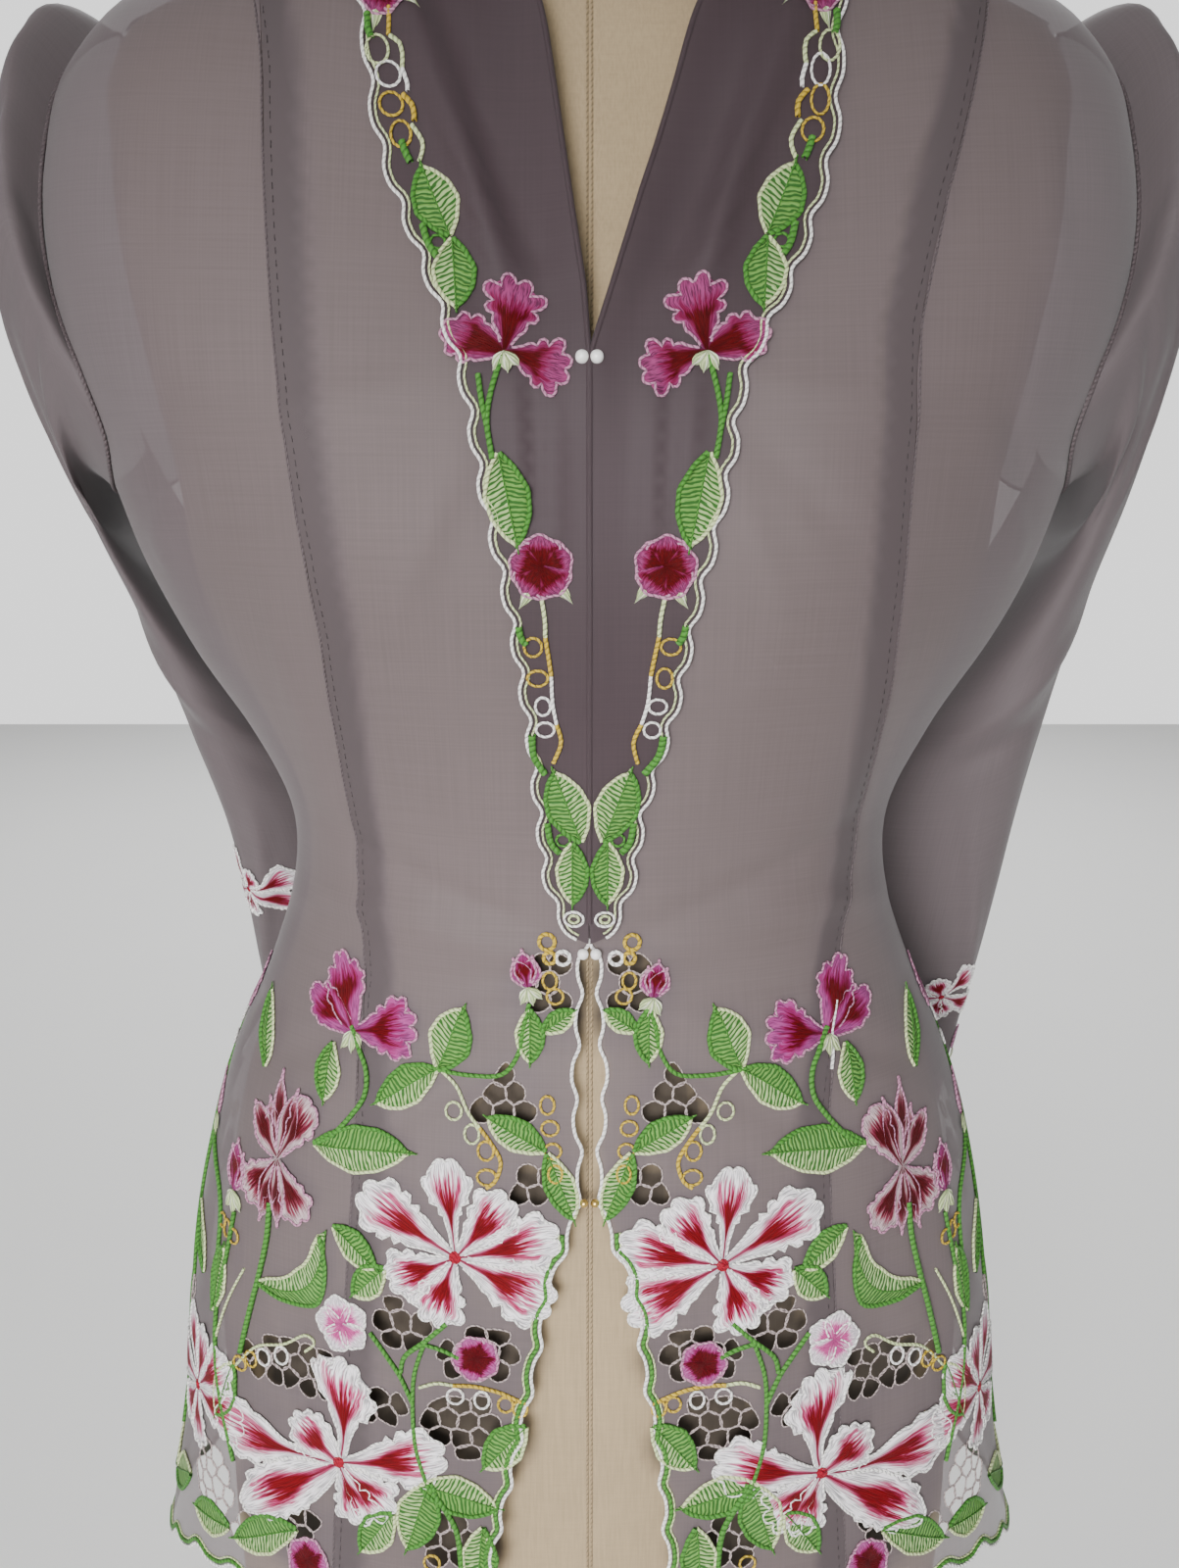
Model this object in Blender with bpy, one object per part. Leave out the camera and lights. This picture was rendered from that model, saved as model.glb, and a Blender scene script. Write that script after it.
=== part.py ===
"""Sheer kebaya blouse on a limbless dress form.

The blouse has princess seams, shawl lapels with a scalloped edge, long set-in
sleeves, pearl and gold fastenings and cutwork windows round the hem.

Metres, +Z up. The front faces -Y and the foot stands on z = 0. Heights called t
are measured from the waist along the body, and distances called s go round the
body from the centre front. "left" is the viewer's left, at -X.
"""
import math

import bmesh
import bpy
import numpy as np
from mathutils import Vector
from mathutils.geometry import delaunay_2d_cdt

# Driving sizes
WAIST_Z = 0.395
WALL = 0.0010
LAPEL_WALL = 0.0012
GAP = 0.0003
LAPEL_LIFT = 0.0004
FOOT_HEIGHT = 0.016
FOOT_HALF_WIDTH = 0.125
FOOT_HALF_DEPTH = 0.088
CAP_RADIUS = 0.049
CAP_HEIGHT = 0.014
NECK_TOP_T = 0.474
GRID_FRONT = 0.026
GRID_BACK = 0.037
HALF_GIRTH = 0.5
SHOULDER_STEP = 0.016
NECK_STEP = 0.012
FINE_STEPS = 60

# The blouse, ring by ring: a rounded section at each height t.
# t, half width, height at the side, depth in front, height in front,
# depth behind, height behind, shift of the middle in y, squareness
BLOUSE = np.array((
    (-0.380, 0.205, -0.380, 0.125, -0.380, 0.129, -0.380, 0.000, 2.30),
    (-0.330, 0.200, -0.330, 0.124, -0.330, 0.129, -0.330, 0.000, 2.30),
    (-0.290, 0.194, -0.290, 0.122, -0.290, 0.128, -0.290, 0.000, 2.30),
    (-0.230, 0.184, -0.230, 0.119, -0.230, 0.126, -0.230, 0.000, 2.30),
    (-0.170, 0.178, -0.170, 0.117, -0.170, 0.123, -0.170, 0.000, 2.30),
    (-0.110, 0.168, -0.110, 0.114, -0.110, 0.116, -0.110, 0.000, 2.25),
    (-0.060, 0.155, -0.060, 0.107, -0.060, 0.106, -0.060, 0.000, 2.20),
    (-0.020, 0.138, -0.020, 0.100, -0.020, 0.097, -0.020, 0.000, 2.10),
    (0.015, 0.127, 0.015, 0.098, 0.015, 0.093, 0.015, 0.000, 2.10),
    (0.045, 0.127, 0.045, 0.100, 0.045, 0.092, 0.045, 0.000, 2.10),
    (0.080, 0.142, 0.080, 0.107, 0.080, 0.094, 0.080, 0.000, 2.15),
    (0.115, 0.164, 0.115, 0.116, 0.115, 0.098, 0.115, 0.000, 2.25),
    (0.150, 0.181, 0.150, 0.123, 0.150, 0.101, 0.150, 0.000, 2.40),
    (0.180, 0.190, 0.180, 0.126, 0.180, 0.104, 0.180, 0.001, 2.60),
    (0.215, 0.201, 0.218, 0.127, 0.214, 0.104, 0.216, 0.003, 2.90),
    (0.250, 0.209, 0.258, 0.121, 0.248, 0.103, 0.253, 0.006, 3.20),
    (0.285, 0.210, 0.300, 0.113, 0.283, 0.100, 0.292, 0.009, 3.20),
    (0.310, 0.203, 0.335, 0.107, 0.311, 0.097, 0.325, 0.011, 2.90),
    (0.325, 0.189, 0.355, 0.103, 0.329, 0.094, 0.345, 0.012, 2.60),
    (0.346, 0.164, 0.368, 0.098, 0.345, 0.090, 0.362, 0.012, 2.35),
    (0.373, 0.130, 0.382, 0.090, 0.361, 0.083, 0.379, 0.012, 2.15),
    (0.396, 0.102, 0.394, 0.080, 0.377, 0.074, 0.392, 0.012, 2.05),
    (0.414, 0.083, 0.406, 0.071, 0.391, 0.066, 0.404, 0.012, 2.00),
    (0.430, 0.072, 0.420, 0.065, 0.405, 0.060, 0.417, 0.012, 2.00),
    (0.480, 0.068, 0.470, 0.062, 0.470, 0.057, 0.470, 0.012, 2.00),
))
BUST = {"x": 0.082, "z": 0.160, "rise": 0.010, "wide": 0.048, "tall": 0.055}

# Room between the cloth's outer face and the form: t, in front, at the side, behind
FORM_ROOM = np.array((
    (-0.380, 0.034, 0.056, 0.034),
    (-0.290, 0.018, 0.032, 0.018),
    (-0.200, 0.010, 0.016, 0.010),
    (-0.110, 0.008, 0.010, 0.008),
    (0.000, 0.006, 0.007, 0.006),
    (0.045, 0.006, 0.006, 0.006),
    (0.115, 0.006, 0.012, 0.007),
    (0.180, 0.005, 0.026, 0.010),
    (0.250, 0.007, 0.030, 0.009),
    (0.300, 0.008, 0.022, 0.008),
    (0.325, 0.008, 0.010, 0.007),
    (0.350, 0.008, 0.0056, 0.006),
    (0.396, 0.008, 0.0050, 0.006),
    (0.430, 0.010, 0.011, 0.009),
    (0.480, 0.013, 0.017, 0.012),
))

# Opening edge of each front, from the neck side down to the hem: t, s left, s right
OPENING = np.array((
    (0.423, 0.104, 0.108),
    (0.406, 0.078, 0.088),
    (0.378, 0.044, 0.062),
    (0.341, 0.018, 0.041),
    (0.308, 0.012, 0.029),
    (0.278, 0.007, 0.018),
    (0.246, 0.002, 0.008),
    (0.222, 0.00015, 0.00015),
    (0.120, 0.00015, 0.00015),
    (0.000, 0.00015, 0.00015),
    (-0.018, 0.0008, 0.0008),
    (-0.045, 0.0026, 0.0026),
    (-0.085, 0.0008, 0.0008),
    (-0.100, 0.0040, 0.0040),
    (-0.120, 0.0110, 0.0125),
    (-0.156, 0.0178, 0.0178),
    (-0.198, 0.0267, 0.0243),
    (-0.240, 0.0358, 0.0280),
    (-0.302, 0.0480, 0.0370),
))

# Scalloped outer edge of each lapel in front: t, s left, s right
LAPEL_EDGE = np.array((
    (0.010, 0.0040, 0.0040),
    (0.030, 0.0130, 0.0130),
    (0.060, 0.0170, 0.0180),
    (0.100, 0.0210, 0.0285),
    (0.138, 0.0265, 0.0360),
    (0.178, 0.0350, 0.0450),
    (0.218, 0.0420, 0.0520),
    (0.250, 0.0535, 0.0680),
    (0.290, 0.0700, 0.0820),
    (0.332, 0.0800, 0.0880),
    (0.362, 0.0950, 0.1010),
))
# The fronts are closed edge to edge from FASTENED_T down to the lapels' lower ends
FASTENED_T = 0.222
LAPEL_END_T = 0.010
LAPEL_SHOULDER_T = 0.390
LAPEL_NECK_T = 0.385
LAPEL_BACK_T = 0.377

# Princess seam of each front: t, s left, s right
PRINCESS = np.array((
    (-0.310, 0.108, 0.108),
    (-0.230, 0.104, 0.104),
    (-0.170, 0.100, 0.100),
    (-0.100, 0.095, 0.096),
    (-0.060, 0.093, 0.096),
    (0.000, 0.093, 0.108),
    (0.035, 0.097, 0.118),
    (0.066, 0.099, 0.119),
    (0.126, 0.097, 0.114),
    (0.180, 0.103, 0.113),
    (0.232, 0.108, 0.113),
    (0.272, 0.111, 0.123),
    (0.310, 0.114, 0.138),
    (0.346, 0.126, 0.155),
))
PRINCESS_SHOULDER_T = {-1: 0.384, 1: 0.374}
# The princess seam crosses the shoulder at a slant, so its gap along s grows there: t, share
PRINCESS_GAP = np.array(((0.325, 1.0), (0.360, 1.8)))

# Armhole: t, reach forward of the side, reach behind it
ARMHOLE = np.array((
    (0.174, 0.000, 0.000),
    (0.177, 0.040, 0.036),
    (0.186, 0.068, 0.056),
    (0.202, 0.080, 0.066),
    (0.224, 0.074, 0.067),
    (0.250, 0.060, 0.062),
    (0.280, 0.052, 0.055),
    (0.303, 0.038, 0.042),
    (0.318, 0.020, 0.022),
    (0.3264, 0.000, 0.000),
))

# Hem line round the body: s, t
HEM = np.array((
    (0.000, -0.306),
    (0.050, -0.301),
    (0.080, -0.284),
    (0.110, -0.271),
    (0.145, -0.265),
    (0.185, -0.269),
    (0.225, -0.282),
    (0.262, -0.290),
    (0.340, -0.292),
    (0.600, -0.292),
))
HEM_SCALLOP = (0.027, 0.0035)
EDGE_SCALLOP = (0.020, 0.0022)
LAPEL_SCALLOP = (0.018, 0.0026)
WRIST_SCALLOP = (6, 0.004)

# Cutwork windows on each side of the opening. Each is a patch of cells:
# s, t, half width, half height, tilt in degrees, number of sides
WINDOWS = (
    (0.0150, -0.0060, 0.0125, 0.0115, 0, 10),
    (0.0310, -0.0530, 0.0230, 0.0170, 90, 3),
    (0.0230, -0.0800, 0.0085, 0.0120, 0, 10),
    (0.0740, -0.1400, 0.0130, 0.0105, 0, 10),
    (0.0410, -0.1520, 0.0180, 0.0130, 10, 10),
    (0.1200, -0.1690, 0.0330, 0.0115, -6, 12),
    (0.0480, -0.1810, 0.0180, 0.0140, 10, 10),
    (0.0820, -0.1750, 0.0110, 0.0095, 0, 10),
    (0.1710, -0.2340, 0.0150, 0.0160, 30, 10),
    (0.1190, -0.2400, 0.0130, 0.0105, 0, 10),
    (0.1480, -0.2470, 0.0105, 0.0090, 0, 10),
    (0.0560, -0.2300, 0.0130, 0.0120, 0, 10),
    (0.2150, -0.1650, 0.0140, 0.0130, 0, 10),
)
BACK_WINDOWS = (
    (0.305, -0.243, 0.0200, 0.0120, 0, 10),
    (0.395, -0.222, 0.0150, 0.0120, 0, 10),
    (0.470, -0.246, 0.0180, 0.0120, 0, 10),
)
CELL_PITCH = 0.0083
CELL_BAR = 0.0017
CELL_JITTER = 0.16
CELL_SHORTEST = 0.30
CELL_MIN_RADIUS = 0.0020
CELL_EDGE_ROOM = 0.0030
FRONT_SEED = 100
BACK_SEED = 300

# Sleeves hang down, inward and behind the body. Each row is one ring: x and height of
# its outer point, x and height of its inner point, its middle in y, half its depth,
# and how far its front end swings outward.
SLEEVES = {
    1: (
        (0.2240, 0.358, 0.1950, 0.1700, 0.004, 0.070, 0.000),
        (0.2390, 0.318, 0.1950, 0.1620, 0.011, 0.067, 0.000),
        (0.2430, 0.278, 0.1920, 0.1520, 0.020, 0.064, 0.000),
        (0.2390, 0.235, 0.1860, 0.1380, 0.028, 0.062, 0.002),
        (0.2300, 0.190, 0.1740, 0.1180, 0.036, 0.060, 0.005),
        (0.2200, 0.150, 0.1590, 0.0940, 0.045, 0.057, 0.008),
        (0.2110, 0.112, 0.1440, 0.0680, 0.055, 0.053, 0.012),
        (0.2030, 0.073, 0.1310, 0.0400, 0.065, 0.047, 0.018),
        (0.1940, 0.034, 0.1230, 0.0090, 0.076, 0.042, 0.024),
        (0.1860, -0.005, 0.1190, -0.0230, 0.088, 0.039, 0.028),
        (0.1790, -0.045, 0.1170, -0.0560, 0.101, 0.036, 0.030),
        (0.1720, -0.085, 0.1150, -0.0910, 0.114, 0.033, 0.031),
        (0.1610, -0.162, 0.1110, -0.1630, 0.135, 0.030, 0.032),
        (0.1590, -0.192, 0.1090, -0.1920, 0.139, 0.031, 0.032),
    ),
    -1: (
        (0.2200, 0.358, 0.1950, 0.1700, 0.004, 0.070, 0.000),
        (0.2340, 0.320, 0.1950, 0.1620, 0.011, 0.067, 0.000),
        (0.2360, 0.280, 0.1910, 0.1520, 0.020, 0.064, 0.000),
        (0.2260, 0.235, 0.1840, 0.1380, 0.028, 0.062, 0.002),
        (0.2130, 0.190, 0.1700, 0.1180, 0.036, 0.060, 0.005),
        (0.2000, 0.150, 0.1530, 0.0940, 0.045, 0.057, 0.008),
        (0.1890, 0.112, 0.1350, 0.0680, 0.056, 0.053, 0.012),
        (0.1780, 0.073, 0.1180, 0.0400, 0.067, 0.047, 0.017),
        (0.1660, 0.034, 0.1070, 0.0090, 0.079, 0.042, 0.021),
        (0.1580, -0.005, 0.1010, -0.0230, 0.091, 0.039, 0.024),
        (0.1530, -0.045, 0.0990, -0.0560, 0.104, 0.036, 0.026),
        (0.1480, -0.085, 0.0980, -0.0910, 0.117, 0.033, 0.028),
        (0.1400, -0.162, 0.0950, -0.1630, 0.136, 0.030, 0.031),
        (0.1380, -0.192, 0.0940, -0.1920, 0.140, 0.031, 0.031),
    ),
}
SLEEVE_SIDES = 24
SLEEVE_BLEND = (0.55, 0.36, 0.14)
SLEEVE_START = 0.00122
SLEEVE_FOLD = 0.0030
# The ring where each sleeve is parted above the elbow, and the gap there
SLEEVE_PARTING = 7
SLEEVE_GAP = 0.0007

# Pairs of beads: name, t, distance of each bead from the centre, radius, finish, and the
# height above the fronts of what they lie on
BEADS = (
    ("pearl_upper", 0.2215, 0.00255, 0.0023, "pearl", LAPEL_LIFT + LAPEL_WALL),
    ("pearl_lower", 0.0060, 0.00240, 0.0021, "pearl", 0.0),
    ("gold_bead", -0.0885, 0.00210, 0.0016, "gold", 0.0),
)

TORSO_RINGS = 23
TORSO_SIDES = 28

COLOURS = {
    "cloth": (0.33, 0.29, 0.29, 1.0),
    "lapel": (0.24, 0.19, 0.21, 1.0),
    "sleeve": (0.25, 0.22, 0.22, 1.0),
    "pearl": (0.86, 0.85, 0.80, 1.0),
    "gold": (0.80, 0.58, 0.18, 1.0),
    "linen": (0.68, 0.60, 0.44, 1.0),
    "wood": (0.32, 0.20, 0.11, 1.0),
}
FINISH = {"pearl": (0.25, 0.0), "gold": (0.30, 1.0), "wood": (0.45, 0.0)}


def read_rows(rows, at):
    """The columns after the first, on a smooth curve through the rows."""
    x = rows[:, 0]
    v = rows[:, 1:]
    slope = np.gradient(v, x, axis=0)
    i = np.clip(np.searchsorted(x, at, side="right") - 1, 0, len(x) - 2)
    step = (x[i + 1] - x[i])[:, None]
    w = np.clip((at[:, None] - x[i][:, None]) / step, 0.0, 1.0)
    w2 = w * w
    w3 = w2 * w
    start = (2 * w3 - 3 * w2 + 1) * v[i] + (w3 - 2 * w2 + w) * step * slope[i]
    end = (3 * w2 - 2 * w3) * v[i + 1] + (w3 - w2) * step * slope[i + 1]
    return start + end


def read_line(rows, at, column=1):
    """One column of a table read in straight steps, whichever way its rows run."""
    order = np.argsort(rows[:, 0])
    return np.interp(at, rows[order, 0], rows[order, column])


def side_column(side):
    """Tables with a left and a right column."""
    return 1 if side < 0 else 2


def ring_points(u, t):
    """Points of the blouse at angle u from the centre front and height t."""
    u, t = np.broadcast_arrays(np.asarray(u, float), np.asarray(t, float))
    shape = u.shape
    u = u.ravel()
    half, side_z, fore, fore_z, aft, aft_z, mid, square = read_rows(BLOUSE, t.ravel()).T
    sine, cosine = np.abs(np.sin(u)), np.cos(u)
    depth = np.where(cosine >= 0, fore, aft)
    end_z = np.where(cosine >= 0, fore_z, aft_z)
    radius = ((sine / half) ** square + (np.abs(cosine) / depth) ** square) ** (-1.0 / square)
    z = end_z * cosine ** 2 + side_z * sine ** 2
    across = (radius * sine - BUST["x"]) / BUST["wide"]
    up = (z - BUST["z"]) / BUST["tall"]
    radius = radius + BUST["rise"] * np.exp(-across ** 2 - up ** 2) * np.clip(cosine, 0, 1) ** 0.7
    points = np.stack((radius * np.sin(u), mid - radius * cosine, z + WAIST_Z), -1)
    return points.reshape(shape + (3,))


class Body:
    """The blouse's surface, read by the distance s round it and the height t."""

    def __init__(self, rings=401, steps=720):
        self.t = np.linspace(BLOUSE[0, 0], BLOUSE[-1, 0], rings)
        self.steps = steps
        u = np.linspace(0, math.pi, steps + 1)
        points = ring_points(u[None, :], self.t[:, None])
        lengths = np.linalg.norm(np.diff(points, axis=1), axis=2)
        arcs = np.concatenate((np.zeros((rings, 1)), np.cumsum(lengths, axis=1)), axis=1)
        self.girth = arcs[:, -1]
        share = np.linspace(0, 1, steps + 1)
        self.u = np.array([np.interp(share * g, arc, u) for g, arc in zip(self.girth, arcs)])
        self.side = np.array([np.interp(math.pi / 2, u, arc) for arc in arcs])

    def half_girth(self, t):
        return np.interp(t, self.t, self.girth)

    def side_s(self, t):
        return np.interp(t, self.t, self.side)

    def angle(self, s, t):
        share = np.clip(s / self.half_girth(t), 0, 1) * self.steps
        row = (t - self.t[0]) / (self.t[1] - self.t[0])
        i = np.clip(row.astype(int), 0, len(self.t) - 2)
        j = np.clip(share.astype(int), 0, self.steps - 1)
        a = share - j
        b = row - i
        low = self.u[i, j] * (1 - a) + self.u[i, j + 1] * a
        high = self.u[i + 1, j] * (1 - a) + self.u[i + 1, j + 1] * a
        return low * (1 - b) + high * b

    def point(self, side, s, t, lift=0.0):
        """Points moved out by lift from the blouse's outer face."""
        s, t = np.broadcast_arrays(np.asarray(s, float), np.asarray(t, float))
        u = self.angle(s, t)
        return self.point_at_angle(side, u, t, lift)

    def point_at_angle(self, side, u, t, lift=0.0):
        turn, rise = 1e-3, 2e-4
        along = ring_points(u + turn, t) - ring_points(u - turn, t)
        up = ring_points(u, t + rise) - ring_points(u, t - rise)
        normal = np.cross(along, up)
        normal /= np.linalg.norm(normal, axis=-1, keepdims=True)
        lift = np.broadcast_to(np.asarray(lift, float), u.shape)
        points = ring_points(u, t) + normal * lift[..., None]
        return points * np.array((side, 1.0, 1.0))

    def to_net(self, line):
        """(s, t) to the flat net that is triangulated."""
        line = np.asarray(line, float)
        return np.stack((line[:, 0] / self.half_girth(line[:, 1]) * HALF_GIRTH, line[:, 1]), 1)

    def from_net(self, net):
        return np.stack((net[:, 0] / HALF_GIRTH * self.half_girth(net[:, 1]), net[:, 1]), 1)


def resample(line, steps):
    """Even steps along a line of points."""
    line = np.asarray(line, float)
    length = np.concatenate(((0.0,), np.cumsum(np.linalg.norm(np.diff(line, axis=0), axis=1))))
    at = np.linspace(0, length[-1], steps + 1)
    return np.stack([np.interp(at, length, line[:, k]) for k in range(line.shape[1])], 1)


def scalloped(line, scallop, hand, parts=3):
    """The line with rounded scallops that stand out to its left (hand 1) or right (-1)."""
    pitch, depth = scallop
    total = np.sum(np.linalg.norm(np.diff(line, axis=0), axis=1))
    count = max(1, round(total / pitch))
    points = resample(line, count * parts)
    along = np.gradient(points, axis=0)
    along /= np.linalg.norm(along, axis=1, keepdims=True)
    out = np.stack((-along[:, 1], along[:, 0]), 1) * hand
    wave = np.abs(np.sin(math.pi * np.arange(len(points)) / parts)) ** 0.8
    return points + out * (wave * depth)[:, None]


def inside(points, loops):
    """Which points lie inside the loops taken together: a hole is a loop in a loop."""
    found = np.zeros(len(points), bool)
    for loop in loops:
        ahead = np.roll(loop, -1, axis=0)
        for (x1, y1), (x2, y2) in zip(loop, ahead):
            crosses = (y1 > points[:, 1]) != (y2 > points[:, 1])
            if y1 != y2:
                reach = (x2 - x1) * (points[:, 1] - y1) / (y2 - y1) + x1
                found ^= crosses & (points[:, 0] < reach)
    return found


def nearest(points, line, closed=True):
    """Distance from each point to a line."""
    ends = np.roll(line, -1, axis=0) if closed else line[1:]
    starts = line if closed else line[:-1]
    best = np.full(len(points), 1e9)
    for a, b in zip(starts, ends):
        edge = b - a
        share = np.clip(((points - a) @ edge) / max(edge @ edge, 1e-18), 0, 1)
        best = np.minimum(best, np.linalg.norm(points - (a + share[:, None] * edge), axis=1))
    return best


def triangulate(outline, holes, lines, spacing):
    """Triangles that fill the outline, follow the lines and leave the holes open."""
    points = []
    edges = []
    for loop, closed in [(outline, True)] + [(h, True) for h in holes] + [(i, False) for i in lines]:
        first = len(points)
        points.extend(loop)
        last = len(points) - 1
        edges.extend((k, k + 1) for k in range(first, last))
        if closed:
            edges.append((last, first))
    low, high = outline.min(axis=0), outline.max(axis=0)
    rows = np.arange(low[1], high[1], spacing * 0.866)
    grid = np.array([(x + (k % 2) * spacing / 2, y) for k, y in enumerate(rows)
                     for x in np.arange(low[0], high[0], spacing)])
    grid = grid[inside(grid, [outline])]
    keep = np.ones(len(grid), bool)
    for loop in [outline] + list(holes):
        keep &= nearest(grid, loop) > spacing * 0.42
    for line in lines:
        keep &= nearest(grid, line, closed=False) > spacing * 0.42
    for hole in holes:
        keep &= ~inside(grid, [hole])
    points.extend(grid[keep])
    result = delaunay_2d_cdt([Vector(p) for p in points], edges, [], 0, 1e-6)
    net = np.array([tuple(v) for v in result[0]])
    faces = np.array([tuple(f) for f in result[2]])
    middle = net[faces].mean(axis=1)
    faces = faces[inside(middle, [outline] + list(holes))]
    a, b, c = net[faces[:, 0]], net[faces[:, 1]], net[faces[:, 2]]
    area = np.abs((b - a)[:, 0] * (c - a)[:, 1] - (b - a)[:, 1] * (c - a)[:, 0]) / 2
    return net, faces[area > 1e-10]


def clip_cell(cell, point, normal):
    """The part of a convex cell behind the line through point."""
    kept = []
    for a, b in zip(cell, np.roll(cell, -1, axis=0)):
        da, db = (a - point) @ normal, (b - point) @ normal
        if da <= 0:
            kept.append(a)
        if (da < 0 < db) or (db < 0 < da):
            kept.append(a + (b - a) * da / (da - db))
    return np.array(kept) if len(kept) > 2 else None


def merge_short(cell, shortest):
    """The cell without corners closer together than shortest."""
    kept = [cell[0]]
    for corner in cell[1:]:
        if np.linalg.norm(corner - kept[-1]) > shortest:
            kept.append(corner)
    if len(kept) > 3 and np.linalg.norm(kept[0] - kept[-1]) < shortest:
        kept.pop()
    return np.array(kept)


def cutwork_cells(window, seed):
    """Cells of one cutwork window: crackled shapes with narrow bars between them."""
    s, t, half_width, half_height, tilt, sides = window
    turn = math.radians(tilt)
    angles = turn + 2 * math.pi * np.arange(sides) / sides
    rim = np.stack((s + half_width * np.cos(angles), t + half_height * np.sin(angles)), 1)
    random = np.random.default_rng(seed)
    reach = max(half_width, half_height) + CELL_PITCH
    rows = np.arange(-reach, reach, CELL_PITCH * 0.866)
    seeds = np.array([(x + (k % 2) * CELL_PITCH / 2, y) for k, y in enumerate(rows)
                      for x in np.arange(-reach, reach, CELL_PITCH)])
    seeds = seeds + random.uniform(-1, 1, seeds.shape) * CELL_PITCH * CELL_JITTER + (s, t)
    cells = []
    for i, middle in enumerate(seeds):
        if not inside(middle[None, :], [rim])[0]:
            continue
        box = np.array(((-1, -1), (1, -1), (1, 1), (-1, 1))) * CELL_PITCH * 1.5 + middle
        for j, other in enumerate(seeds):
            away = other - middle
            distance = np.linalg.norm(away)
            if i == j or distance > CELL_PITCH * 2.3 or box is None:
                continue
            away = away / distance
            box = clip_cell(box, middle + away * (distance - CELL_BAR) / 2, away)
        for a, b in zip(rim, np.roll(rim, -1, axis=0)):
            if box is not None:
                edge = (b - a) / np.linalg.norm(b - a)
                box = clip_cell(box, a, np.array((edge[1], -edge[0])))
        if box is None:
            continue
        box = merge_short(box, CELL_PITCH * CELL_SHORTEST)
        ahead = np.roll(box, -1, axis=0)
        area = abs(np.sum(box[:, 0] * ahead[:, 1] - box[:, 1] * ahead[:, 0])) / 2
        edge = np.sum(np.linalg.norm(ahead - box, axis=1))
        if len(box) > 3 and 2 * area / edge > CELL_MIN_RADIUS:
            cells.append(box)
    return cells


def holes_inside(outline, windows, first_seed):
    """The cutwork cells that fit in a panel, clear of its edges."""
    holes = []
    for k, window in enumerate(windows):
        for cell in cutwork_cells(window, first_seed + k):
            clear = nearest(cell, outline) > CELL_EDGE_ROOM
            if inside(cell, [outline]).all() and clear.all():
                holes.append(cell)
    return holes


def new_material(name):
    material = bpy.data.materials.new(name)
    material.use_nodes = True
    shader = material.node_tree.nodes["Principled BSDF"]
    roughness, metallic = FINISH.get(name, (0.75, 0.0))
    shader.inputs["Base Color"].default_value = COLOURS[name]
    shader.inputs["Roughness"].default_value = roughness
    shader.inputs["Metallic"].default_value = metallic
    material.diffuse_color = COLOURS[name]
    return material


def new_object(name, points, faces, finish, smooth=True):
    """One closed solid as an object, its faces turned outward."""
    mesh = bpy.data.meshes.new(name)
    mesh.from_pydata([tuple(p) for p in points], [], [tuple(f) for f in faces])
    shape = bmesh.new()
    shape.from_mesh(mesh)
    bmesh.ops.recalc_face_normals(shape, faces=shape.faces)
    if shape.calc_volume(signed=True) < 0:
        bmesh.ops.reverse_faces(shape, faces=shape.faces)
    shape.to_mesh(mesh)
    shape.free()
    if smooth:
        mesh.shade_smooth()
        mesh.set_sharp_from_angle(angle=math.radians(50))
    mesh.materials.append(bpy.data.materials.get(finish) or new_material(finish))
    item = bpy.data.objects.new(name, mesh)
    bpy.context.scene.collection.objects.link(item)
    return item


def wall(name, outer, inner, faces, finish):
    """A cloth wall between an outer and an inner sheet of the same triangles."""
    count = len(outer)
    used = {}
    for a, b, c in faces:
        for pair in ((a, b), (b, c), (c, a)):
            used[pair] = used.get(pair, 0) + 1
    rim = [pair for pair in used if (pair[1], pair[0]) not in used]
    solid = [tuple(f) for f in faces]
    solid += [(c + count, b + count, a + count) for a, b, c in faces]
    for a, b in rim:
        solid += [(b, a, a + count), (b, a + count, b + count)]
    points = np.concatenate((outer, inner))
    keep = np.unique(np.array([i for f in solid for i in f]))
    place = {int(k): n for n, k in enumerate(keep)}
    return new_object(name, points[keep], [tuple(place[int(i)] for i in f) for f in solid], finish)


def seam_heights(first, last, step):
    return np.linspace(first, last, max(2, round(abs(last - first) / step) + 1))


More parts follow.
